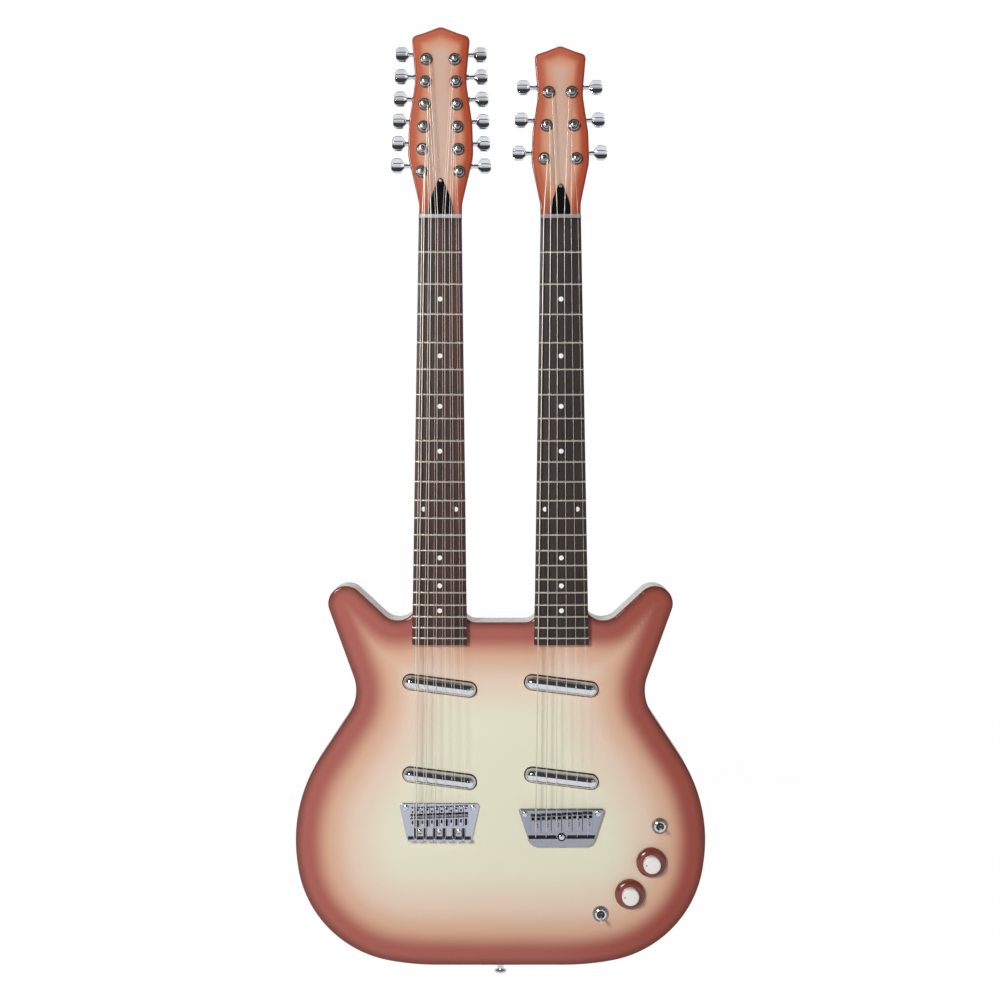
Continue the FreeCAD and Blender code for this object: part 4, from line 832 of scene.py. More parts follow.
def slot_outline(neck, height):
    half, side = PICKUP_LENGTH / 2 + SLOT_GAP, PICKUP_DIAMETER / 2 + SLOT_GAP
    corners = [(-half, -side, side), (half, -side, side), (half, side, side), (-half, side, side)]
    move = slanted(neck, height)
    moved = [move @ Vector((point.x, 0, point.y)) for point in rounded_outline(corners, 1.5, 12)]
    return [Vector((point.x, point.z)) for point in moved]


slots = [slot_outline(neck, height) for neck in necks for height in PICKUP_HEIGHTS]
print("slots", len(slots))

# %% Body top and back
TOP_ROUND, BACK_ROUND = 2.4, 1.8
top_mesh = Shell().add(*slab(outline, FACE_Y, FACE_Y + PLATE_THICK, TOP_ROUND, 0, slots, 4)).mesh("top")
store_rim(top_mesh, outline)
finish_piece(link("burst_top", top_mesh, [body_lacquer]), "guitar", ["body_top"], "sunburst_top")

back_mesh = Shell().add(*slab(outline, BACK_Y - PLATE_THICK, BACK_Y, 0, BACK_ROUND, (), 9)).mesh("back")
store_rim(back_mesh, outline)
finish_piece(link("lacquered_back", back_mesh, [back_lacquer]), "guitar", ["body_back"], "copper_back")

# %% Side tape and its overlap at the foot
TAPE_THICK, OVERLAP_HALF = 0.5, 21


def tape_form(outer):
    """A closed band between the plates: outer wall, back edge, inner wall and front edge."""
    inner, count = inset(outer, TAPE_THICK), len(outer)
    low_y, high_y = FACE_Y + PLATE_THICK, BACK_Y - PLATE_THICK
    loops = ((outer, low_y), (outer, high_y), (inner, high_y), (inner, low_y))
    points = [(point.x, y, point.y) for loop, y in loops for point in loop]
    faces = []
    for k in range(len(loops)):
        low, high = k * count, (k + 1) % len(loops) * count
        for i in range(count):
            following = (i + 1) % count
            faces.append((low + i, low + following, high + following, high + i))
    band = Shell().add(points, faces)
    return band.add(*box_form((-OVERLAP_HALF, low_y, -TAPE_THICK), (OVERLAP_HALF, high_y, 0)))


dress("side_strip", tape_form(outline), [side_vinyl], "guitar", ["edge_tape"], "side_tape")

# %% [markdown]
# ## Necks and headstocks
# The headstock is a bottle-shaped slab. Its face lies below the fingerboard, and its back slopes into the
# neck. Sculpting could join the two, but here the neck is a row of U-shaped sections, because a section
# follows the neck's taper exactly. Both carry the distance from the headstock's rim, so the same burst runs
# from copper at the edges to tan in the middle.

# %% Headstock outline
HEAD_SHARES = [(1.020, 0.330, 1.50), (0.985, 0.500, 1.70), (0.785, 0.720, 2.00), (0.905, 0.946, 0.18),
               (0.520, 0.966, 0.90)]
THROAT_RISE, THROAT_RADIUS, TIP_DROP, TIP_RADIUS = 16, 45, 0.2, 9


def board_half(neck, z):
    return (neck["nut"] + (neck["end"] - neck["nut"]) * (NUT_Z - z) / (NUT_Z - BOARD_END_Z)) / 2


def head_outline(neck, foot_z=NUT_Z):
    half, length = neck["head_half"], neck["head_length"]
    side = [(board_half(neck, foot_z), foot_z, 0), (neck["nut"] / 2, NUT_Z + THROAT_RISE, THROAT_RADIUS)]
    side += [(x * half, NUT_Z + z * length, radius * half) for x, z, radius in HEAD_SHARES]
    left = [(-x, z, radius) for x, z, radius in side]
    return rounded_outline(side + [(0, NUT_Z + length - TIP_DROP, TIP_RADIUS)] + left[::-1], 2.0)


print("headstocks", [len(head_outline(neck)) for neck in necks], "points")

# %% Neck sections
def neck_row(neck, z, top_y, depth, sides=24):
    """One U-shaped section: an arc through the back, closed by a flat under the board."""
    half = board_half(neck, z)
    sag = depth - (BOARD_UNDER_Y - BOARD_Y)
    radius = (half * half + sag * sag) / (2 * sag)
    centre = BOARD_UNDER_Y + sag - radius
    reach = math.atan2(half, BOARD_UNDER_Y - centre)
    row = []
    for k in range(sides + 1):
        turn = reach - 2 * reach * k / sides
        row.append((radius * math.sin(turn), max(centre + radius * math.cos(turn), top_y), z))
    return row


def loft(rows):
    """Closed form through rows of points that all have the same number of points."""
    points = [point for row in rows for point in row]
    size = len(rows[0])
    faces = []
    for low in range(0, size * (len(rows) - 1), size):
        for k in range(size):
            following = (k + 1) % size
            faces.append((low + k, low + following, low + size + following, low + size + k))
    faces += [tuple(range(size)), tuple(range(len(points) - size, len(points)))[::-1]]
    return points, faces


print("a section has", len(neck_row(six, NUT_Z, BOARD_UNDER_Y, 21.5)), "points")

# %% Neck wood
HEAD_FACE_ROUND, HEAD_BACK_ROUND, HEAD_SLOPE, SLOPE_RISE = 1.3, 1.8, 6, 26
DEPTH_AT_NUT, DEPTH_AT_HEEL, HEEL_FLOOR_Y, TONGUE_HALF = 21.5, 24, -7, 25
BURST_FOOT_Z = 330


def head_form(neck):
    """The headstock's slab, with its back sloped towards the neck."""
    edge = head_outline(neck)
    points, faces = slab(edge, HEAD_FACE_Y, HEAD_BACK_Y, HEAD_FACE_ROUND, HEAD_BACK_ROUND, (), 4)
    top_z = NUT_Z + SLOPE_RISE
    sloped = []
    for x, y, z in points:
        if y > (HEAD_FACE_Y + HEAD_BACK_Y) / 2 and z < top_z:
            y -= HEAD_SLOPE * (top_z - z) / SLOPE_RISE
        sloped.append((x, y, z))
    return sloped, faces


def neck_form(neck):
    slimming = DEPTH_AT_HEEL - DEPTH_AT_NUT
    rows = []
    for z in np.linspace(HEEL_TOP_Z, NUT_Z, 14):
        depth = DEPTH_AT_HEEL - slimming * (z - HEEL_TOP_Z) / (NUT_Z - HEEL_TOP_Z)
        rows.append(neck_row(neck, z, BOARD_UNDER_Y, depth))
    behind_nut = NUT_Z + NUT_DEPTH
    rows.append(neck_row(neck, behind_nut, BOARD_UNDER_Y, DEPTH_AT_NUT))
    for z in (behind_nut + 0.01, NUT_Z + 14, NUT_Z + SLOPE_RISE):
        rows.append(neck_row(neck, z, HEAD_FACE_Y + 0.6, DEPTH_AT_NUT))
    return loft(rows)


def heel_forms(neck):
    """The heel under the board's end, and the narrower tongue that goes on below the body's top."""
    halves = (board_half(neck, BOARD_END_Z), board_half(neck, HEEL_TOP_Z))
    for low, high, (foot_half, head_half), top in (
            (BOARD_END_Z, HEEL_TOP_Z, halves, BOARD_UNDER_Y),
            (BOARD_END_Z - TONGUE, BOARD_END_Z, (TONGUE_HALF, TONGUE_HALF), FACE_Y + PLATE_THICK)):
        yield loft([[(-half, top, z), (half, top, z), (half, HEEL_FLOOR_Y, z), (-half, HEEL_FLOOR_Y, z)]
                    for half, z in ((foot_half, low), (head_half, high))])


for neck in necks:
    wood = Shell(neck["place"]).add(*head_form(neck)).add(*neck_form(neck))
    for form in heel_forms(neck):
        wood.add(*form)
    mesh = wood.mesh("neck_" + neck["name"])
    store_rim(mesh, head_outline(neck, BURST_FOOT_Z), neck["place"].inverted())
    finish_piece(link("neck_wood_" + neck["name"], mesh, [neck_lacquer]), "guitar", ["neck_" + neck["name"]],
                 "neck_lacquer")

# %% [markdown]
# ## Fingerboards
# Both boards are crowned rosewood. A flat box would catch the light all at once, so a board is a row of
# sections again, this time with an arc of 305 mm radius on top.

# %% Boards
def crown_y(x):
    return BOARD_Y + CROWN - math.sqrt(CROWN ** 2 - x ** 2)


for neck, board_wood in ((twelve, red_rosewood), (six, dark_rosewood)):
    rows = []
    for z in np.linspace(BOARD_END_Z, NUT_Z, 40):
        half = board_half(neck, z)
        across = [half * (k / 8 - 1) for k in range(17)]
        under = [(half, BOARD_UNDER_Y, z), (-half, BOARD_UNDER_Y, z)]
        rows.append([(x, crown_y(x), z) for x in across] + under)
    board = link("board_" + neck["name"], Shell(neck["place"]).add(*loft(rows)).mesh("board"), [board_wood])
    soften(board, 0.35)
    finish_piece(board, "guitar", ["fingerboards"], "fingerboard_wood")

# %% [markdown]
# ## Frets with Geometry Nodes
# Fret distances follow one rule: each is the twelfth root of two closer to the bridge. A loop in Python
# could place them, but a node tree can apply that rule to an index, and its inputs can be changed
# afterwards. One short wire makes all 21 frets. It is stretched to the board's width and then bent down
# along the crown.

# %% Fret tree: its inputs
def new_tree(name, inputs):
    """A Geometry Nodes tree with named inputs and one geometry output."""
    tree = bpy.data.node_groups.new(name, "GeometryNodeTree")
    tree.interface.new_socket("Geometry", in_out="OUTPUT", socket_type="NodeSocketGeometry")
    for label, kind, value in inputs:
        socket = tree.interface.new_socket(label, in_out="INPUT", socket_type=kind)
        if value is not None:
            socket.default_value = value
    return tree, tree.nodes.new("NodeGroupInput").outputs, tree.nodes.new("NodeGroupOutput").inputs[0]


fret_tree, given, result = new_tree("fret_wires", [
    ("Count", "NodeSocketInt", FRETS), ("Scale Length", FLOAT, 0.635), ("Nut Height", FLOAT, 0.805),
    ("Nut Half Width", FLOAT, 0.022), ("Taper", FLOAT, 0.015), ("Crown Radius", FLOAT, 0.305),
    ("Board Top", FLOAT, -0.031), ("Wire Width", FLOAT, 0.0024), ("Wire Height", FLOAT, 0.0010),
    ("Material", "NodeSocketMaterial", None)])
print(fret_tree.name, "has", len(given) - 1, "inputs")

# %% Fret tree: where each fret lies, and how wide it is
number = math_node(fret_tree, "ADD", add_node(fret_tree, "GeometryNodeInputIndex").outputs[0], 1.0)
shrink = math_node(fret_tree, "POWER", 2.0, math_node(fret_tree, "DIVIDE", number, -12.0))
run = math_node(fret_tree, "MULTIPLY", given["Scale Length"], math_node(fret_tree, "SUBTRACT", 1.0, shrink))
height = math_node(fret_tree, "SUBTRACT", given["Nut Height"], run)
widening = math_node(fret_tree, "MULTIPLY", run, given["Taper"])
half = math_node(fret_tree, "ADD", given["Nut Half Width"], widening)
place = add_node(fret_tree, "ShaderNodeCombineXYZ", {"Z": height})
spots = add_node(fret_tree, "GeometryNodePoints", {"Count": given["Count"], "Position": place.outputs[0]})
print("the last fret is", round(SCALE * (1 - 2 ** (-FRETS / 12)), 1), "mm from the nut")

# %% Fret tree: one wire, set out and bent along the crown
line = add_node(fret_tree, "GeometryNodeCurvePrimitiveLine", {"Start": (-1, 0, 0), "End": (1, 0, 0)})
line = add_node(fret_tree, "GeometryNodeResampleCurve", {"Curve": line.outputs[0], "Count": 13})
circle = add_node(fret_tree, "GeometryNodeCurvePrimitiveCircle", {"Resolution": 10, "Radius": 1.0})
stretch = add_node(fret_tree, "ShaderNodeCombineXYZ", {
    "X": given["Wire Height"], "Y": math_node(fret_tree, "DIVIDE", given["Wire Width"], 2.0), "Z": 1.0})
circle = add_node(fret_tree, "GeometryNodeTransform", {
    "Geometry": circle.outputs[0], "Scale": stretch.outputs[0]})
wire = add_node(fret_tree, "GeometryNodeCurveToMesh", {
    "Curve": line.outputs[0], "Profile Curve": circle.outputs[0], "Fill Caps": True})
width = add_node(fret_tree, "ShaderNodeCombineXYZ", {"X": half, "Y": 1.0, "Z": 1.0})
wires = add_node(fret_tree, "GeometryNodeInstanceOnPoints", {
    "Points": spots.outputs[0], "Instance": wire.outputs[0], "Scale": width.outputs[0]})
real = add_node(fret_tree, "GeometryNodeRealizeInstances", {"Geometry": wires.outputs[0]})
position = add_node(fret_tree, "GeometryNodeInputPosition").outputs[0]
sideways = add_node(fret_tree, "ShaderNodeSeparateXYZ", {0: position}).outputs["X"]
radius_square = math_node(fret_tree, "POWER", given["Crown Radius"], 2.0)
side_square = math_node(fret_tree, "POWER", math_node(fret_tree, "ABSOLUTE", sideways), 2.0)
root = math_node(fret_tree, "SQRT", math_node(fret_tree, "SUBTRACT", radius_square, side_square))
drop = math_node(fret_tree, "SUBTRACT", given["Crown Radius"], root)
shift = add_node(fret_tree, "ShaderNodeCombineXYZ", {
    "Y": math_node(fret_tree, "ADD", given["Board Top"], drop)})
bent = add_node(fret_tree, "GeometryNodeSetPosition", {
    "Geometry": real.outputs[0], "Offset": shift.outputs[0]})
coat = add_node(fret_tree, "GeometryNodeSetMaterial", {
    "Geometry": bent.outputs[0], "Material": given["Material"]})
fret_tree.links.new(coat.outputs[0], result)
print(fret_tree.name, len(fret_tree.nodes), "nodes")

# %% Both sets of frets
def run_tree(tree, name, values, mesh=None):
    """Runs a node tree on a fresh object and keeps the result as a plain mesh."""
    piece = bpy.data.objects.new(name, mesh or bpy.data.meshes.new(name))
    bpy.context.collection.objects.link(piece)
    modifier = piece.modifiers.new("nodes", "NODES")
    modifier.node_group = tree
    for item in tree.interface.items_tree:
        if item.item_type == "SOCKET" and item.in_out == "INPUT" and item.name in values:
            modifier[item.identifier] = values[item.name]
    flatten(piece)
    return piece


def move_mesh(piece, matrix):
    """Moves a piece by a matrix given in millimetres, in its mesh."""
    metres = matrix.copy()
    metres.translation = metres.translation * MM
    piece.data.transform(metres)


for neck in necks:
    frets = run_tree(fret_tree, "fret_wires_" + neck["name"], {
        "Count": FRETS, "Nut Half Width": (neck["nut"] / 2 - 0.4) * MM,
        "Taper": (neck["end"] - neck["nut"]) / 2 / (NUT_Z - BOARD_END_Z), "Material": nickel})
    move_mesh(frets, neck["place"])
    finish_piece(frets, "guitar", ["frets"], "fret_wire", 60)

# %% [markdown]
# ## Setting out what repeats
# Dots, screws, bushings, gear housings and saddles' screws are each one shape that appears many times.
# Copies of an object would be quick to make, but the export keeps one mesh for each piece. One small tree
# serves them all: it puts a template on points that carry their own turn and size, and makes real geometry
# of the copies.

# %% Setting-out tree
set_out_tree, given, result = new_tree("set_out", [
    ("Points", "NodeSocketGeometry", None), ("Template", "NodeSocketObject", None),
    ("Material", "NodeSocketMaterial", None)])
turn, size = [
    add_node(set_out_tree, "GeometryNodeInputNamedAttribute", {"Name": label}, data_type="FLOAT_VECTOR")
    for label in ("turn", "size")]
spin = add_node(set_out_tree, "FunctionNodeEulerToRotation", {0: turn.outputs[0]})
shape = add_node(set_out_tree, "GeometryNodeObjectInfo", {"Object": given["Template"]})
copies = add_node(set_out_tree, "GeometryNodeInstanceOnPoints", {
    "Points": given["Points"], "Instance": shape.outputs["Geometry"], "Rotation": spin.outputs[0],
    "Scale": size.outputs[0]})
real = add_node(set_out_tree, "GeometryNodeRealizeInstances", {"Geometry": copies.outputs[0]})
coat = add_node(set_out_tree, "GeometryNodeSetMaterial", {
    "Geometry": real.outputs[0], "Material": given["Material"]})
set_out_tree.links.new(coat.outputs[0], result)
print(set_out_tree.name, len(set_out_tree.nodes), "nodes")

# %% Running it for one template
def set_out(name, template, places, material, bevel=0.0, sharp=40, **finish):
    """Copies a template form to each place, a matrix in millimetres with an optional size."""
    shape = link(name + "_template", template.mesh(name) if isinstance(template, Shell) else template, [])
    if bevel:
        soften(shape, bevel)
    points = bpy.data.meshes.new(name)
    points.from_pydata([place.translation * MM for place in places], [], [])
    turns = [angle for place in places for angle in place.to_euler()]
    sizes = [share for place in places for share in place.to_scale()]
    points.attributes.new("turn", "FLOAT_VECTOR", "POINT").data.foreach_set("vector", turns)
    points.attributes.new("size", "FLOAT_VECTOR", "POINT").data.foreach_set("vector", sizes)
    piece = run_tree(set_out_tree, name, {"Template": shape, "Material": material}, points)
    bpy.data.objects.remove(shape)
    return finish_piece(piece, "guitar", sharp=sharp, **finish)


# %% Position dots
DOTTED_FRETS, DOUBLE_DOT, DOUBLE_HALF, DOT_SINK = (3, 5, 7, 9, 12, 15, 17, 19), 12, 17.0, 0.3
DOT_PROFILE = [(0, -0.4), (2.6, -0.4), (2.6, 0.28), (2.45, 0.34), (0, 0.36)]


def fret_z(number):
    return NUT_Z - SCALE * (1 - 2 ** (-number / 12))


dot_places = []
for neck in necks:
    for number in DOTTED_FRETS:
        z = (fret_z(number) + fret_z(number - 1)) / 2
        for x in (-DOUBLE_HALF, DOUBLE_HALF) if number == DOUBLE_DOT else (0.0,):
            dot_places.append(neck["place"] @ facing(x, crown_y(x) + DOT_SINK, z))
set_out("position_dots", lathed(DOT_PROFILE, 24), dot_places, pearl, slot="white_gloss")

# %% [markdown]
# ## Nuts and truss-rod covers
# The nut is a metal bar with a groove for each string. Cutting the grooves with booleans would work too,
# but one outline that already has them is cleaner. Under the strings on the headstock sits a glossy black
# cover, shaped like a pointed arch, held by one small domed screw near its tip.

# %% String places
def string_places(neck):
    """Sideways places of the strings at the nut and at the bridge, from the bass side."""
    places = []
    for course in range(COURSES):
        offset = course - (COURSES - 1) / 2
        for side in ((-1, 1) if neck["nut_gap"] else (0,)):
            places.append((offset * neck["nut_pitch"] + side * neck["nut_gap"],
                           offset * neck["bridge_pitch"] + side * neck["bridge_gap"]))
    return places


print("strings", [len(string_places(neck)) for neck in necks])

# %% Outline of a nut
NUT_TOP_Y, GROOVE_Y, NUT_BREAK, GROOVE_GAP = BOARD_Y - 2.3, BOARD_Y - 1.45, 0.8, 0.12


def nut_form(neck):
    """Bar with its upper edge cut by grooves, drawn as one outline and pulled along the neck."""
    half = neck["nut"] / 2
    edge = [(-half, BOARD_UNDER_Y), (-half, NUT_TOP_Y + NUT_BREAK), (-half + NUT_BREAK, NUT_TOP_Y)]
    for (x, _), gauge in zip(string_places(neck), neck["gauges"]):
        side = gauge / 2 + GROOVE_GAP
        edge += [(x - side, NUT_TOP_Y), (x - side, GROOVE_Y), (x + side, GROOVE_Y), (x + side, NUT_TOP_Y)]
    edge += [(half - NUT_BREAK, NUT_TOP_Y), (half, NUT_TOP_Y + NUT_BREAK), (half, BOARD_UNDER_Y)]
    return loft([[(x, y, z) for x, y in edge] for z in (NUT_Z, NUT_Z + NUT_DEPTH)])


print("points of a nut", [len(nut_form(neck)[0]) for neck in necks])

# %% Nuts and truss-rod covers
COVER_Y, COVER_ROUND = HEAD_FACE_Y - 1.8, 0.7


def cover_outline(neck):
    half, length, foot = neck["cover_half"], neck["cover_length"], NUT_Z + NUT_DEPTH
    side = [(half, foot, 0), (half, foot + 0.32 * length, length)]
    left = [(-x, z, radius) for x, z, radius in side]
    return rounded_outline(side + [(0, foot + length + 2.6, 3)] + left[::-1], 1.5)


for neck in necks:
    bar = Shell(neck["place"]).add(*nut_form(neck))
    dress("nut_bar_" + neck["name"], bar, [brushed_nut], "guitar", ["nuts"], "nut_metal", 30)
    edge = cover_outline(neck)
    cover = Shell(neck["place"]).add(*slab(edge, COVER_Y, HEAD_FACE_Y, COVER_ROUND, 0, (), 0, 4))
    dress("rod_cover_" + neck["name"], cover, [black_gloss], "guitar", ["truss_rod_covers"], "black_gloss")

# %% [markdown]
# ## Screws
# A cross-head screw is turned, then its cross is cut out with a boolean: at this size the recess is all
# that tells a screw from a rivet. The same head, at different sizes, holds the bridges, the covers, the
# gear housings, the neck and the pickups.

# %% Screw head of radius one
HEAD_PROFILE = [(0, -0.2), (1, -0.2), (1, 0.12), (0.93, 0.24), (0.72, 0.36), (0.4, 0.44), (0, 0.47)]
BAR_HALF, RECESS_FLOOR = 0.13, 0.12
CROSS, SLOT = (2, 0.58), (1, 1.2)


def screw_head(bars, reach):
    """Domed head with a recess of one or two crossing bars."""
    head = link("head", lathed(HEAD_PROFILE, 24).mesh("head", 0.00001), [])
    recess = Shell()
    for bar in range(bars):
        recess.add(*box_form((-reach, -BAR_HALF, RECESS_FLOOR), (reach, BAR_HALF, 1.0)),
                   move=Matrix.Rotation(bar * math.pi / 2, 4, "Z"))
    tool = link("cross", recess.mesh("cross", 0.00001), [])
    cut = head.modifiers.new("cut", "BOOLEAN")
    cut.object, cut.operation, cut.solver, cut.use_self = tool, "DIFFERENCE", "EXACT", True
    flatten(head)
    mesh = head.data
    bpy.data.objects.remove(head)
    bpy.data.objects.remove(tool)
    return mesh


def screw_place(matrix, x, y, z, radius, out=(0, -1, 0), turn=0.4):
    return matrix @ facing(x, y, z, out, turn) @ Matrix.Diagonal((radius, radius, radius, 1))


# %% Screws on the face
PLATE_Y, TRAY_Y = FACE_Y - 2.0, FACE_Y - 4.6
CORNER_IN, CORNER_DOWN, CORNER_RADIUS, LOW_ROW, LOW_PITCH = 7.7, 5, 3.2, 9, 21
TRAY_LINE = 11.4

face_screws = []
for neck, plate_y in ((twelve, PLATE_Y), (six, TRAY_Y)):
    side, height = neck["plate_top_width"] / 2 - CORNER_IN, neck["plate_top"] - CORNER_DOWN
    for x, turn in ((-side, 0.5), (side, 1.1)):
        face_screws.append(screw_place(neck["place"], x, plate_y, height, CORNER_RADIUS, turn=turn))
for k in (-1, 0, 1):
    height = twelve["plate_foot"] + LOW_ROW
    face_screws.append(screw_place(twelve["place"], LOW_PITCH * k, PLATE_Y, height, 2.9, turn=k))
set_out("face_screws", screw_head(*CROSS), face_screws, chrome, slot="chrome",
        nodes=["screws_and_strap_buttons"])
cover_screws = [screw_place(neck["place"], 0, COVER_Y, NUT_Z + NUT_DEPTH + neck["cover_length"] - 4.6, 2.1)
                for neck in necks]
set_out("cover_screws", screw_head(*CROSS), cover_screws, aged_steel, slot="chrome")
middle_screw = [screw_place(six["place"], 0, TRAY_Y - 0.3, six["plate_foot"] + TRAY_LINE, 3.1, turn=0.9)]
set_out("tray_screw", screw_head(*SLOT), middle_screw, chrome, slot="chrome")

# %% [markdown]
# ## Tuners
# On the face, a stepped bushing surrounds each string post. Behind, a closed gear housing carries the shaft
# of a faceted button. Bushings and housings stay with the guitar, so they are set out as copies. Posts and
# buttons each turn by themselves, so each is a piece of its own on its own body. Everything round is turned
# from a profile of radius and height.

# %% Where the posts are
GEAR_DEPTH, GEAR_RISE = 5, 8.3


def post_places(neck):
    places = []
    for side in (-1, 1):
        for row in range(neck["rows"]):
            places.append((side, row, side * (neck["post_half"] - row * neck["post_closing"]),
                           NUT_Z + neck["first_post"] + row * neck["post_pitch"]))
    return places


def shaft_axis(x, z):
    """A point on the axis of the shaft that belongs to the post at x, z."""
    return x, HEAD_BACK_Y + GEAR_DEPTH, z + GEAR_RISE


print("posts", [len(post_places(neck)) for neck in necks])

# %% Bushings and housings
BUSHING_PROFILE = [(4.6, -1.0), (4.6, 0), (6.8, 0), (6.8, 0.6), (6.5, 1.0), (6.1, 1.0), (5.8, 0.5),
                   (5.5, 0.5), (5.3, 1.1), (5.3, 2.0), (5.0, 2.5), (4.5, 2.8), (4.0, 2.7), (3.5, 2.2),
                   (3.06, 1.4), (3.06, -1.0), (4.6, -1.0)]
NOSE_PROFILE = [(0, 6.8), (3.8, 6.8), (3.8, 12.2), (3.2, 12.6), (3.2, 14), (2.08, 14), (2.08, 10), (0, 10)]
HOUSING_CORNERS, HOUSING_ROUND = ((-7, 0, -6.5), (7, 10, 13.5)), 1.6

bushing_places, housing_places, nose_places, cap_screws = [], [], [], []
for neck in necks:
    place = neck["place"]
    for side, row, x, z in post_places(neck):
        bushing_places.append(place @ facing(x, HEAD_FACE_Y, z))
        housing_places.append(place @ Matrix.Translation((x, HEAD_BACK_Y, z)))
        nose_places.append(place @ facing(*shaft_axis(x, z), (side, 0, 0)))
        cap_screws.append(screw_place(place, x - side * 3.4, HEAD_BACK_Y + 10, z - 3.2, 1.6, (0, 1, 0), row))
housing = Shell().add(*box_form(*HOUSING_CORNERS))
for name, form, places, material, bevel in (
        ("post_bushings", lathed(BUSHING_PROFILE), bushing_places, smoky_chrome, 0),
        ("gear_housings", housing, housing_places, chrome, HOUSING_ROUND),
        ("shaft_noses", lathed(NOSE_PROFILE, 20), nose_places, chrome, 0),
        ("housing_screws", screw_head(*CROSS), cap_screws, steel, 0)):
    set_out(name, form, places, material, bevel, nodes=["tuner_housings"], slot="chrome")

# %% Thumb piece of a button
THUMB_INNER, THUMB_REACH, END_SWELL = 19.4, 33.4, 0.72
THUMB_WIDTHS = [(THUMB_INNER, 3.2), (THUMB_INNER + 3.4, 7.6), (THUMB_INNER + 5.0, 8.0),
                (THUMB_REACH - 3.6, 8.0), (THUMB_REACH - 1.6, 6.9), (THUMB_REACH, 4.6)]
THUMB_DEPTHS = ((-1, 1.5), (-0.8, 3.6), (-0.24, 2.62), (0.24, 3.25), (0.32, 2.8), (0.92, 3.6), (1, 3.0))


def button_form(side):
    """Six-sided thumb piece with a thin crease and a shallow hollow for the thumb across both faces."""
    rows = []
    for x, half in THUMB_WIDTHS:
        swell = 1.0 if THUMB_INNER < x < THUMB_REACH else END_SWELL
        row = [(side * x, -depth * swell, share * half) for share, depth in THUMB_DEPTHS]
        rows.append(row + [(x, -y, z) for x, y, z in reversed(row)])
    return loft(rows)


print("a thumb piece has", len(button_form(1)[1]), "faces")

# %% Posts and buttons
POST_PROFILE = [(0, -20), (3.0, -20), (3.0, 2.6), (2.7, 3.0), (2.7, 7.8), (3.0, 8.2), (3.0, 8.8), (2.6, 9.4),
                (1.9, 9.6), (0.9, 9.6), (0.8, 8.4), (0, 8.4)]
SHAFT_PROFILE = [(0, 10.3), (2, 10.3), (2, 15), (2.6, 15.4), (2.6, 18.6), (3.1, 19), (3.1, 19.8), (0, 19.8)]

for neck in necks:
    place = neck["place"]
    for side, row, x, z in post_places(neck):
        label = "%s_%s_%d" % (neck["name"], "left" if side < 0 else "right", row + 1)
        body = "string_post_" + label
        post = lathed(POST_PROFILE, 28, facing(x, HEAD_FACE_Y, z), place)
        dress("post_" + label, post, [smoky_chrome], body, [body], "chrome")
        body = "tuner_button_" + label
        button = Shell(place).add(*button_form(side), move=Matrix.Translation(shaft_axis(x, z)))
        thumb = link("button_" + label, button.mesh("button"), [chrome])
        soften(thumb, 0.3, 2, 20)
        shaft = lathed(SHAFT_PROFILE, 20, facing(*shaft_axis(x, z), (side, 0, 0)), place)
        rod = link("shaft_" + label, shaft.mesh("shaft"), [chrome])
        finish_piece(thumb, body, [body], "chrome", 8)
        finish_piece(rod, body, (), "chrome")

# %% [markdown]
# ## Pickups
# Each pickup is a chromed tube with rounded ends, lying slanted in its slot. A stretched capsule would do
# from far away, but the real tube has a fine seam where its end cap is pushed on, so it is turned from a
# profile and laid on its side. A plain bracket carries it below the top.

# %% Tubes and brackets
TUBE_RADIUS, SEAM, SEAM_DEPTH = PICKUP_DIAMETER / 2, 9, 0.12
TUBE_RISE, BRACKET_THICK, BRACKET_HALF = 9.2, 2, (33, 5)


def tube_profile():
    half = PICKUP_LENGTH / 2
    turns = [math.radians(degrees) for degrees in range(0, 91, 10)]
    left = [(TUBE_RADIUS * math.sin(turn), -half + TUBE_RADIUS - TUBE_RADIUS * math.cos(turn))
            for turn in turns]
    for radius, step in ((TUBE_RADIUS, 0), (TUBE_RADIUS - SEAM_DEPTH, 0.1), (TUBE_RADIUS - SEAM_DEPTH, 0.3),
                         (TUBE_RADIUS, 0.4)):
        left.append((radius, -half + SEAM + step))
    return left + [(radius, -height) for radius, height in reversed(left)]


for neck in necks:
    for k, height in enumerate(PICKUP_HEIGHTS):
        label, place = "%s_%d" % (neck["name"], k), slanted(neck, height)
        tube = lathed(tube_profile(), 48, facing(0, FACE_Y - TUBE_RISE + TUBE_RADIUS, 0, (1, 0, 0)), place)
        dress("pickup_" + label, tube, [chrome], "guitar", ["pickups"], "chrome")
        under, (half_x, half_z) = FACE_Y - TUBE_RISE + PICKUP_DIAMETER, BRACKET_HALF
        low, high = (-half_x, under, -half_z), (half_x, under + BRACKET_THICK, half_z)
        bracket = Shell(place).add(*box_form(low, high))
        dress("bracket_" + label, bracket, [steel], "guitar")

# %% [markdown]
# ## Strings
# A string runs from its anchor over the saddle, along the neck, through its nut groove and round its post.
# A curve object with a bevel could draw it, but a wire swept along a worked-out path needs no conversion.
# The bends are small arcs. The thicker strings are wound, which a fine wave in their bump shows.

# %% Path with eased corners
def eased(points, radii):
    """Straight runs joined by short arcs, as a list of points."""
    path = [Vector(points[0])]
    for i in range(1, len(points) - 1):
        corner = Vector(points[i])
        before = (Vector(points[i - 1]) - corner).normalized()
        after = (Vector(points[i + 1]) - corner).normalized()
        half = before.angle(after) / 2
        setback = radii[i - 1] / math.tan(half)
        centre = corner + (before + after).normalized() * (radii[i - 1] / math.sin(half))
        start, end = corner + before * setback - centre, corner + after * setback - centre
        axis = start.cross(end).normalized()
        for k in range(7):
            path.append(centre + Matrix.Rotation((math.pi - 2 * half) * k / 6, 3, axis) @ start)
    path.append(Vector(points[-1]))
    return path


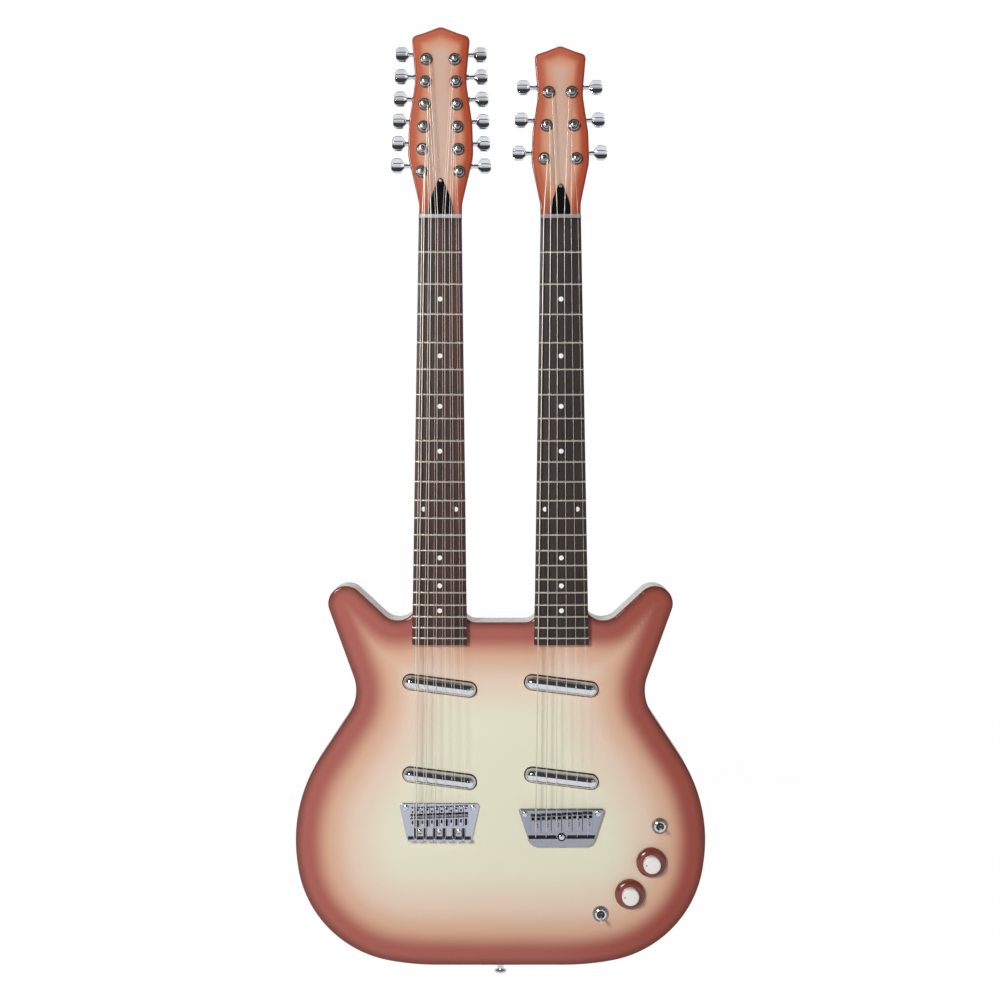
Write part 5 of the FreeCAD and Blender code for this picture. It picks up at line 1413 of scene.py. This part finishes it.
# %% String routes
STRING_BRIDGE_Y, STRING_NUT_Y = FACE_Y - 12.9, BOARD_Y - 1.6
POST_WAIST, WIND_GAP, WIND_Y, WIND_TURNS, WIND_STEPS = 2.7, 0.06, HEAD_FACE_Y - 7.0, 2.6, 20
SADDLE_BEND, NUT_BEND, PITCH_LEAN = 2.5, 12, 2.4


def saddle_crest(neck, index):
    share = index / (len(neck["gauges"]) - 1) - 0.5
    return LINE_Z - neck["setback"] + share * PITCH_LEAN


def string_path(neck, index):
    nut_x, bridge_x = string_places(neck)[index]
    gauge, rows, count = neck["gauges"][index], neck["rows"], len(neck["gauges"])
    side, row = (-1, index) if index < rows else (1, count - 1 - index)
    post_x, post_z = [(x, z) for s, r, x, z in post_places(neck) if (s, r) == (side, row)][0]
    if neck is twelve:
        anchor = (bridge_x, FACE_Y - 6.3, neck["plate_foot"] + 1.1)
    else:
        anchor = (bridge_x, TRAY_Y, neck["plate_foot"] + TRAY_LINE)
    reach = POST_WAIST + gauge / 2 + WIND_GAP
    path = eased([anchor, (bridge_x, STRING_BRIDGE_Y, saddle_crest(neck, index)),
                  (nut_x, STRING_NUT_Y - gauge / 2, NUT_Z + NUT_DEPTH / 2),
                  (post_x - side * reach, WIND_Y, post_z)], [SADDLE_BEND, NUT_BEND])
    for k in range(1, int(WIND_TURNS * WIND_STEPS)):
        turn = 2 * math.pi * k / WIND_STEPS
        x = post_x - side * reach * math.cos(turn)
        y = WIND_Y + (gauge + WIND_GAP) * k / WIND_STEPS
        path.append(Vector((x, y, post_z + reach * math.sin(turn))))
    return path, gauge


for neck in necks:
    wire = Shell(neck["place"])
    for index in range(len(neck["gauges"])):
        path, gauge = string_path(neck, index)
        wire.add(*swept(path, gauge / 2), slot=1 if index in neck["wound"] else 0)
    dress("strings_" + neck["name"], wire, [string_plain, string_wound], "guitar", ["strings"],
          "string_metal", 60, merge=0.00001)

# %% [markdown]
# ## Knobs
# Two stacked pairs: a glossy red-brown ring below, a white cap above with a small grey mark. The ring's
# shaft is a tube and the cap's shaft goes through it, so each turns alone. Both are turned from their
# profiles, shaft included, because the shaft has to turn with its knob.

# %% Knobs
RING_PROFILE = [(8.2, 0.6), (15.6, 0.6), (16.2, 1.0), (16.2, 3.6), (15.9, 4.8), (15.0, 6.0), (13.4, 7.0),
                (11.8, 7.4), (2.05, 7.4), (2.05, -7.2), (3.2, -7.2), (3.2, 5.4), (8.2, 5.4), (8.2, 0.6)]
CAP_PROFILE = [(0, -11.2), (2.0, -11.2), (2.0, 7.7), (9.0, 7.7), (9.3, 7.9), (9.3, 15.2), (9.1, 16.2),
               (8.5, 16.8), (7.7, 17.0), (0, 17.0)]
MARK_PROFILE, MARK_REACH = [(0, 16.9), (0.95, 16.9), (0.95, 17.02), (0, 17.04)], 6.2


def place_on_face(width_share, height_share):
    return width_share * BODY_WIDTH / 2, height_share * BODY_HEIGHT


knobs = {"six": place_on_face(0.7342, 0.2756), "twelve": place_on_face(0.6306, 0.1917)}
for name, (x, z) in knobs.items():
    seat = facing(x, FACE_Y, z)
    body = "tone_ring_" + name
    dress("ring_" + name, lathed(RING_PROFILE, 64, seat), [red_brown], body, [body], "red_brown_gloss", 50)
    body = "volume_knob_" + name
    cap = lathed(CAP_PROFILE, 56, seat)
    cap.add(*turned(MARK_PROFILE, 16), 1, Matrix.Translation((-MARK_REACH, 0, 0)) @ seat)
    dress("cap_" + name, cap, [white_gloss, grey_mark], body, [body], "white_gloss", 50, merge=0.00001)

# %% [markdown]
# ## Switches
# A toggle switch shows a thin washer, a dress nut, the end of its threaded bushing and a bat-shaped lever.
# The lower one rests tilted, as in the picture. The lever is turned like a bat and swung about its pivot. A
# black funnel in the bushing's mouth is painted shade, so that the hollow looks deep at this small size.

# %% Washers, nuts and bushings
switches = {"upper": (place_on_face(0.7761, 0.3701), 0), "lower": (place_on_face(0.4892, 0.1373), 12)}
WASHER_PROFILE = [(3.1, 0), (8.8, 0), (8.8, 0.6), (8.3, 1.0), (7.6, 1.1), (7.3, 0.6), (6.9, 0.6), (6.7, 1.0),
                  (3.1, 1.0), (3.1, 0)]
DRESS_NUT_PROFILE = [(3.05, 0), (6.2, 0), (6.5, 0.3), (6.5, 1.5), (6.0, 2.2), (5.2, 2.6), (4.4, 2.6),
                     (3.9, 2.0), (3.05, 1.6), (3.05, 0)]
MOUTH_PROFILE = [(3.0, 1.62), (4.0, 2.08), (3.9, 2.2), (3.0, 2.26), (2.4, 2.0), (1.86, 0.5), (1.86, -4),
                 (2.2, -4), (2.2, 0.4), (3.0, 1.62)]
THREADS, THREAD_PITCH, THREAD_CREST, THREAD_ROOT = 12, 0.5, 2.98, 2.72


def thread_profile():
    rows = [(1.9, -6), (THREAD_CREST, -6)]
    for k in range(THREADS):
        height = THREAD_PITCH * k - 4
        rows += [(THREAD_CREST, height), (THREAD_ROOT, height + THREAD_PITCH / 2)]
    return rows + [(THREAD_CREST, 2.0), (2.8, 2.2), (2.5, 2.0), (1.9, 0.4), (1.9, -6)]


washer_places = [facing(x, FACE_Y, z) for (x, z), tilt in switches.values()]
nut_places = [facing(x, FACE_Y - 1.0, z) for (x, z), tilt in switches.values()]
for name, form, places, material, sharp in (
        ("switch_washers", lathed(WASHER_PROFILE, 48), washer_places, aged_steel, 25),
        ("switch_nuts", lathed(DRESS_NUT_PROFILE, 48), nut_places, chrome, 25),
        ("switch_bushings", lathed(thread_profile()), nut_places, chrome, 40),
        # The mouths are a black funnel: painted shade inside the bushing's hollow.
        ("switch_mouths", lathed(MOUTH_PROFILE), nut_places, painted_shade_black, 40)):
    set_out(name, form, places, material, sharp=sharp, slot="dull_nickel", nodes=["controls"])

# %% Levers
BAT_PROFILE = [(0, 0), (0.95, 0.2), (0.95, 5.4), (1.15, 8), (1.5, 12), (1.65, 14.8), (1.5, 16.3),
               (1.05, 17.2), (0, 17.5)]
PIVOT_RISE = 1.6


def lever_form(tilt, x, z):
    """Bat lever on its pivot; a positive tilt brings the tip down."""
    pivot = Matrix.Translation((x, FACE_Y - PIVOT_RISE, z)) @ Matrix.Rotation(math.radians(tilt), 4, "X")
    return lathed(BAT_PROFILE, 24, facing(0, 0, 0), pivot)


for name, ((x, z), tilt) in switches.items():
    body = name + "_switch_lever"
    dress("lever_" + name, lever_form(tilt, x, z), [satin_chrome], body, [body], "chrome")

# %% [markdown]
# ## Inside and on the rim
# Under the top sit two potentiometers with their bushings and nuts, and two switch cases. The output jack
# is in the lower rim on the treble side: a washer, a hexagon nut and an open sleeve for a 6.35 mm plug. The
# nuts are turned with six sides only, which is the shortest way to a hexagon with bevelled corners.

# %% Potentiometers and switch cases
POT_PROFILE = [(2.05, 3.2), (3.25, 3.2), (3.25, -4.2), (4.8, -4.2), (4.8, 3.2), (12, 3.2), (12, 15.7),
               (11.5, 16.2), (0, 16.2), (0, 11.5), (2.05, 11.5), (2.05, 3.2)]
POT_NUT_PROFILE = [(4.85, 0), (6.6, 0), (7.5, 0.5), (7.5, 1.8), (6.6, 2.2), (4.85, 2.2), (4.85, 0)]
CASE_CORNERS = ((-6.3, 3.2, -6.6), (6.3, 15.2, 6.6))

inward = [facing(x, FACE_Y, z, (0, 1, 0)) for x, z in knobs.values()]
outward = [facing(x, FACE_Y, z) for x, z in knobs.values()]
case_places = [Matrix.Translation((x, FACE_Y, z)) for (x, z), tilt in switches.values()]
case = Shell().add(*box_form(*CASE_CORNERS))
for name, form, places, material, bevel, sharp in (
        ("pots", lathed(POT_PROFILE, 40), inward, steel, 0, 40),
        ("pot_nuts", lathed(POT_NUT_PROFILE, 6), outward, steel, 0, 20),
        ("switch_cases", case, case_places, red_brown, 0.6, 40)):
    set_out(name, form, places, material, bevel, sharp, slot="dull_nickel", nodes=["controls"])

# %% Output jack
JACK_POINT, JACK_OUT = Vector((193.152, 0, 47.608)), Vector((0.774155, 0, -0.632996))
SLEEVE_PROFILE = [(3.25, -30), (4.5, -30), (4.5, 3.2), (4.2, 3.6), (3.5, 3.6), (3.25, 3.3), (3.25, -30)]
JACK_WASHER_PROFILE = [(4.5, 0), (8, 0), (8, 0.5), (7.7, 0.8), (4.5, 0.8), (4.5, 0)]
JACK_NUT_PROFILE = [(4.5, 0.8), (5.6, 0.8), (6.3, 1.3), (6.3, 2.7), (5.6, 3.2), (4.5, 3.2), (4.5, 0.8)]

jack = Shell(facing(*JACK_POINT, JACK_OUT))
for profile, sides in ((SLEEVE_PROFILE, 32), (JACK_WASHER_PROFILE, 40), (JACK_NUT_PROFILE, 6)):
    jack.add(*turned(profile, sides))
dress("output_jack", jack, [chrome], "guitar", ["controls"], "dull_nickel", 25)

# %% [markdown]
# ## Back and rim hardware
# Each neck is held by four screws whose cup washers sit on the back. Two small screws under every pickup
# set its height. Strap buttons are turned in one piece: a foot, a waist for the strap and a wide head.

# %% Screws on the back
CUP_PROFILE = [(2.2, 0), (6.5, 0), (6.4, 0.5), (5.6, 1.3), (4.6, 1.6), (3.2, 0.6), (2.2, 0.4), (2.2, 0)]
NECK_SCREW_HALF, NECK_SCREW_IN, HEIGHT_SCREW_HALF = 18, 11, 28


def back_places(neck):
    heights = (BOARD_END_Z - TONGUE + NECK_SCREW_IN, HEEL_TOP_Z - NECK_SCREW_IN)
    return [(x, z) for x in (-NECK_SCREW_HALF, NECK_SCREW_HALF) for z in heights]


cups, back_screws, height_screws = [], [], []
for neck in necks:
    for k, (x, z) in enumerate(back_places(neck)):
        cups.append(neck["place"] @ facing(x, BACK_Y, z, (0, 1, 0)))
        back_screws.append(screw_place(neck["place"], x, BACK_Y + 1.5, z, 4.2, (0, 1, 0), 0.3 + k))
    for height in PICKUP_HEIGHTS:
        for x in (-HEIGHT_SCREW_HALF, HEIGHT_SCREW_HALF):
            height_screws.append(screw_place(slanted(neck, height), x, BACK_Y + 0.5, 0, 2.8, (0, 1, 0), x))
set_out("cup_washers", lathed(CUP_PROFILE, 40), cups, chrome, slot="chrome",
        nodes=["screws_and_strap_buttons"])
set_out("back_screws", screw_head(*CROSS), back_screws + height_screws, chrome, slot="chrome",
        nodes=["screws_and_strap_buttons"])

# %% Strap buttons
STRAP_PROFILE = [(0, -4), (1.8, -4), (1.8, 0), (5.25, 0), (5.25, 0.6), (4.6, 1.4), (3.7, 2.2), (3.5, 3.2),
                 (3.5, 9.2), (3.9, 10.2), (5.2, 10.7), (6.5, 11.2), (6.8, 12.2), (6.6, 13.2), (5.6, 14.1),
                 (4.6, 14.4), (3.2, 14.4), (2.9, 14.0), (0, 13.8)]
strap_x, strap_z = place_on_face(-0.6757, 0.8509)
strap_places = [facing(0, 0, -TAPE_THICK, (0, 0, -1)), facing(strap_x, BACK_Y, strap_z, (0, 1, 0))]
set_out("strap_buttons", lathed(STRAP_PROFILE, 40), strap_places, chrome, slot="chrome",
        nodes=["screws_and_strap_buttons"])

# %% [markdown]
# ## Twelve-string bridge
# A flat chromed plate, pierced by six tall slots, with an upright notched lip at its foot that holds the
# strings' ends. The slab helper cuts the slots, and the lip is one notched outline given a thickness. A
# dark floor under the slots stands for the shadow in them.

# %% Outlines of bars and plates
def bar_outline(low_x, high_x, low_z, high_z, radius=0.6):
    corners = [(low_x, low_z, radius), (high_x, low_z, radius), (high_x, high_z, radius),
               (low_x, high_z, radius)]
    return rounded_outline(corners, 1.0, 15)


def middle_bar(middle_x, half, low_z, high_z, radius=0.6):
    return bar_outline(middle_x - half, middle_x + half, low_z, high_z, radius)


def plate_outline(neck):
    top, foot = neck["plate_top_width"] / 2, neck["plate_foot_width"] / 2
    right = [(top, neck["plate_top"], neck["plate_corner"]),
             (foot, neck["plate_foot"], neck["plate_foot_corner"])]
    return rounded_outline(mirrored(right), 1.0)


# %% Flat plate and its lip
LIP_IN, LIP_RISE, LIP_FOOT, LIP_THICK, NOTCH_RISE, LIP_BREAK = 1.2, 9.5, 2.2, 2.2, 5.3, 1
NOTCH_HALF, NOTCH_FLOOR_HALF, NOTCH_BREAK = 1.4, 1.0, 0.6
courses = [(course - (COURSES - 1) / 2) * twelve["bridge_pitch"] for course in range(COURSES)]
foot = twelve["plate_foot"]


def lip_edge():
    """The lip seen along the neck: a bar with a notch for each course."""
    half, top, notch = twelve["plate_foot_width"] / 2 - LIP_IN, FACE_Y - LIP_RISE, FACE_Y - NOTCH_RISE
    edge = [(-half, FACE_Y - LIP_FOOT), (-half, top + LIP_BREAK), (-half + LIP_BREAK, top)]
    for x in courses:
        shape = [(NOTCH_HALF, top), (NOTCH_HALF, notch + NOTCH_BREAK), (NOTCH_FLOOR_HALF, notch)]
        edge += [(x - step, y) for step, y in shape] + [(x + step, y) for step, y in reversed(shape)]
    return edge + [(half - LIP_BREAK, top), (half, top + LIP_BREAK), (half, FACE_Y - LIP_FOOT)]


tall_slots = [middle_bar(x, 2.1, foot + 3.2, foot + 13.0) for x in courses]
plate = Shell(twelve["place"]).add(*slab(plate_outline(twelve), PLATE_Y, FACE_Y, 0.7, 0, tall_slots, 0, 4))
plate.add(*loft([[(x, y, z) for x, y in lip_edge()] for z in (foot, foot + LIP_THICK)]))
dress("flat_plate", plate, [plate_chrome], "guitar", ["bridge_plates"], "chrome")
shadow = bar_outline(-34, 34, foot + 2.4, foot + 14)
floor = Shell(twelve["place"]).add(*slab(shadow, FACE_Y - 0.35, FACE_Y, 0, 0))
dress("slot_shadow", floor, [painted_shade_black], "guitar")

# %% [markdown]
# ## Six-string bridge
# A deeper tray with a rounded foot. A channel crosses it, with one big slotted screw in the middle.
# The channel is two long holes beside a round one, and the screw's boss stands in the round one. A black
# floor under the channel is its painted shade.

# %% Tray
CHANNEL_REACH, CHANNEL_HALF, BOSS_RADIUS, BOSS_GAP = 36, 2, 4.6, 0.3
channel_z = six["plate_foot"] + TRAY_LINE


def boss_outline():
    """A square whose corners are rounded until it is a circle."""
    corners = []
    for k in range(4):
        turn = k * math.pi / 2 + math.pi / 4
        x, z = BOSS_RADIUS * math.cos(turn) * 1.4142, channel_z + BOSS_RADIUS * math.sin(turn) * 1.4142
        corners.append((x, z, BOSS_RADIUS))
    return rounded_outline(corners, 1.0)


channel_ends = ((-CHANNEL_REACH, -BOSS_RADIUS - BOSS_GAP), (BOSS_RADIUS + BOSS_GAP, CHANNEL_REACH))
holes = [bar_outline(low, high, channel_z - CHANNEL_HALF, channel_z + CHANNEL_HALF, 0.3)
         for low, high in channel_ends]
holes.append(boss_outline())
tray = Shell(six["place"]).add(*slab(plate_outline(six), TRAY_Y, FACE_Y, 1.3, 0, holes, 0, 5))
tray.add(*turned([(0, 0.3), (2.4, 0.3), (2.4, 4.6), (0, 4.6)], 24), move=facing(0, FACE_Y, channel_z))
dress("tray", tray, [tray_chrome], "guitar", ["bridge_plates"], "chrome")
# A black floor under the channel is painted shade.
shadow = middle_bar(0, CHANNEL_REACH + 0.2, channel_z - 5, channel_z + 5)
floor = Shell(six["place"]).add(*slab(shadow, FACE_Y - 1.6, FACE_Y - 0.2, 0, 0))
dress("channel_shadow", floor, [painted_shade_black], "guitar")

# %% [markdown]
# ## Saddles
# Twelve slim saddles sit side by side on the flat plate, with their screws staggered. Six wide ones fill
# the tray, each with two square pockets in front of its string. Each is two small slabs with a ridge
# between them that carries the string. The crests lean a little to correct the pitch.

# %% Slim saddles
SADDLE_GAP, SADDLE_STEPS = 0.35, 3


def saddle_frame(neck, index):
    """Middle and half width of a saddle, its crest, and the depth just under its string."""
    count = len(neck["gauges"])
    pitch = neck["bridge_pitch"] * COURSES / count
    under = STRING_BRIDGE_Y + neck["gauges"][index] / 2 + 0.05
    return (index - (count - 1) / 2) * pitch, (pitch - SADDLE_GAP) / 2, saddle_crest(neck, index), under


def slim_saddle(index):
    x, half, crest, under = saddle_frame(twelve, index)
    front, rear = crest + twelve["front"], crest - twelve["rear"]
    far = index % 2
    hole = [Vector((x + 1.3 * math.cos(turn), crest + (8.4 if far else 6.3) + 1.3 * math.sin(turn)))
            for turn in np.linspace(0, 2 * math.pi, 17)[:-1]]
    if far:
        slot = middle_bar(x, 1.5, rear + 0.9, crest - 2.4, 1.2)
    else:
        slot = middle_bar(x, 1.1, crest - 7.0, crest - 2.8, 1.0)
    ridge = [(crest + 4.2, PLATE_Y - 3.1), (crest + 1.0, under + 0.4), (crest + 0.4, under),
             (crest - 0.4, under), (crest - 1.0, under + 0.4), (crest - 2.2, PLATE_Y - 4.3)]
    form = Shell(twelve["place"])
    for low, high, corner, rise, opening in (
            (crest + 1.0, front, 0.8, 3.2, hole), (rear, crest + 0.9, 1.0, 4.4, slot)):
        bar = middle_bar(x, half, low, high, corner)
        form.add(*slab(bar, PLATE_Y - rise, PLATE_Y, 0.4, 0, [opening], 0, SADDLE_STEPS))
    low_y = PLATE_Y - 1
    return form.add(*loft([[(x - half, y, z), (x + half, y, z), (x + half, low_y, z), (x - half, low_y, z)]
                           for z, y in ridge]))


for index in range(len(twelve["gauges"])):
    dress("saddle_12_%d" % (index + 1), slim_saddle(index), [plate_chrome], "guitar", ["saddles"], "chrome")

# %% Wide saddles
def wide_saddle(index):
    x, half, crest, under = saddle_frame(six, index)
    front, rear = crest + six["front"], crest - six["rear"]
    string_x = string_places(six)[index][1]
    pockets = [middle_bar(x + side * 2.9, 1.75, crest + 1.2, crest + 4.4, 0.3) for side in (-1, 1)]
    form = Shell(six["place"])
    for outline, top_y, low_y, rounding, holes in (
            (middle_bar(x, half, crest + 0.2, front), under + 1.6, TRAY_Y, 0.5, pockets),
            (middle_bar(x, half, rear, crest + 0.3), TRAY_Y - 3.4, TRAY_Y, 0.5, ()),
            (middle_bar(string_x, 1.7, crest - 1.6, crest + 0.9, 1.0), under, TRAY_Y - 1, 0.8, ())):
        form.add(*slab(outline, top_y, low_y, rounding, 0, holes, 0, SADDLE_STEPS))
    return form


for index in range(len(six["gauges"])):
    dress("saddle_6_%d" % (index + 1), wide_saddle(index), [tray_chrome], "guitar", ["saddles"], "chrome")

# %% Painted shade under the saddles, and small screws
SOCKET_PROFILE = [(0, -0.4), (0.85, -0.4), (0.85, 0.15), (0.7, 0.25), (0.4, 0.25), (0.35, -0.2), (0, -0.2)]
SOCKET_SIDE, SOCKET_DROP, SOCKET_PITCH = 2.1, 4.2, 2.6

# Black boxes under the saddles: painted shade that shows in the gaps between them.
gap_shade = Shell(twelve["place"]).add(*box_form((-31.0, PLATE_Y - 1.2, 154.2), (31.0, PLATE_Y - 0.2, 173.4)))
gap_shade.add(*box_form((-33.4, TRAY_Y - 1.2, 149.4), (33.4, TRAY_Y - 0.2, 165.6)),
         move=twelve["place"].inverted() @ six["place"])
dress("saddle_beds", gap_shade, [painted_shade_black], "guitar")
socket_places = []
for index in range(COURSES):
    x = (index - (COURSES - 1) / 2) * six["bridge_pitch"] + SOCKET_SIDE
    for row in (0, 1):
        z = saddle_crest(six, index) - SOCKET_DROP - SOCKET_PITCH * row
        socket_places.append(six["place"] @ facing(x, TRAY_Y - 3.4, z))
set_out("saddle_socket_screws", lathed(SOCKET_PROFILE, 16), socket_places, black_gloss, slot="chrome")

# %% [markdown]
# ## What stays as the CAD model made it
# The wooden core and the truss rods are hidden, so their plain CAD solids stay and only get a finish.

# %% Finishes on the hidden nodes
for name, material in (("body_frame", core_wood), ("truss_rods", steel)):
    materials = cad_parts[name].data.materials
    materials.clear()
    materials.append(material)
    print(name, "is", material.name)
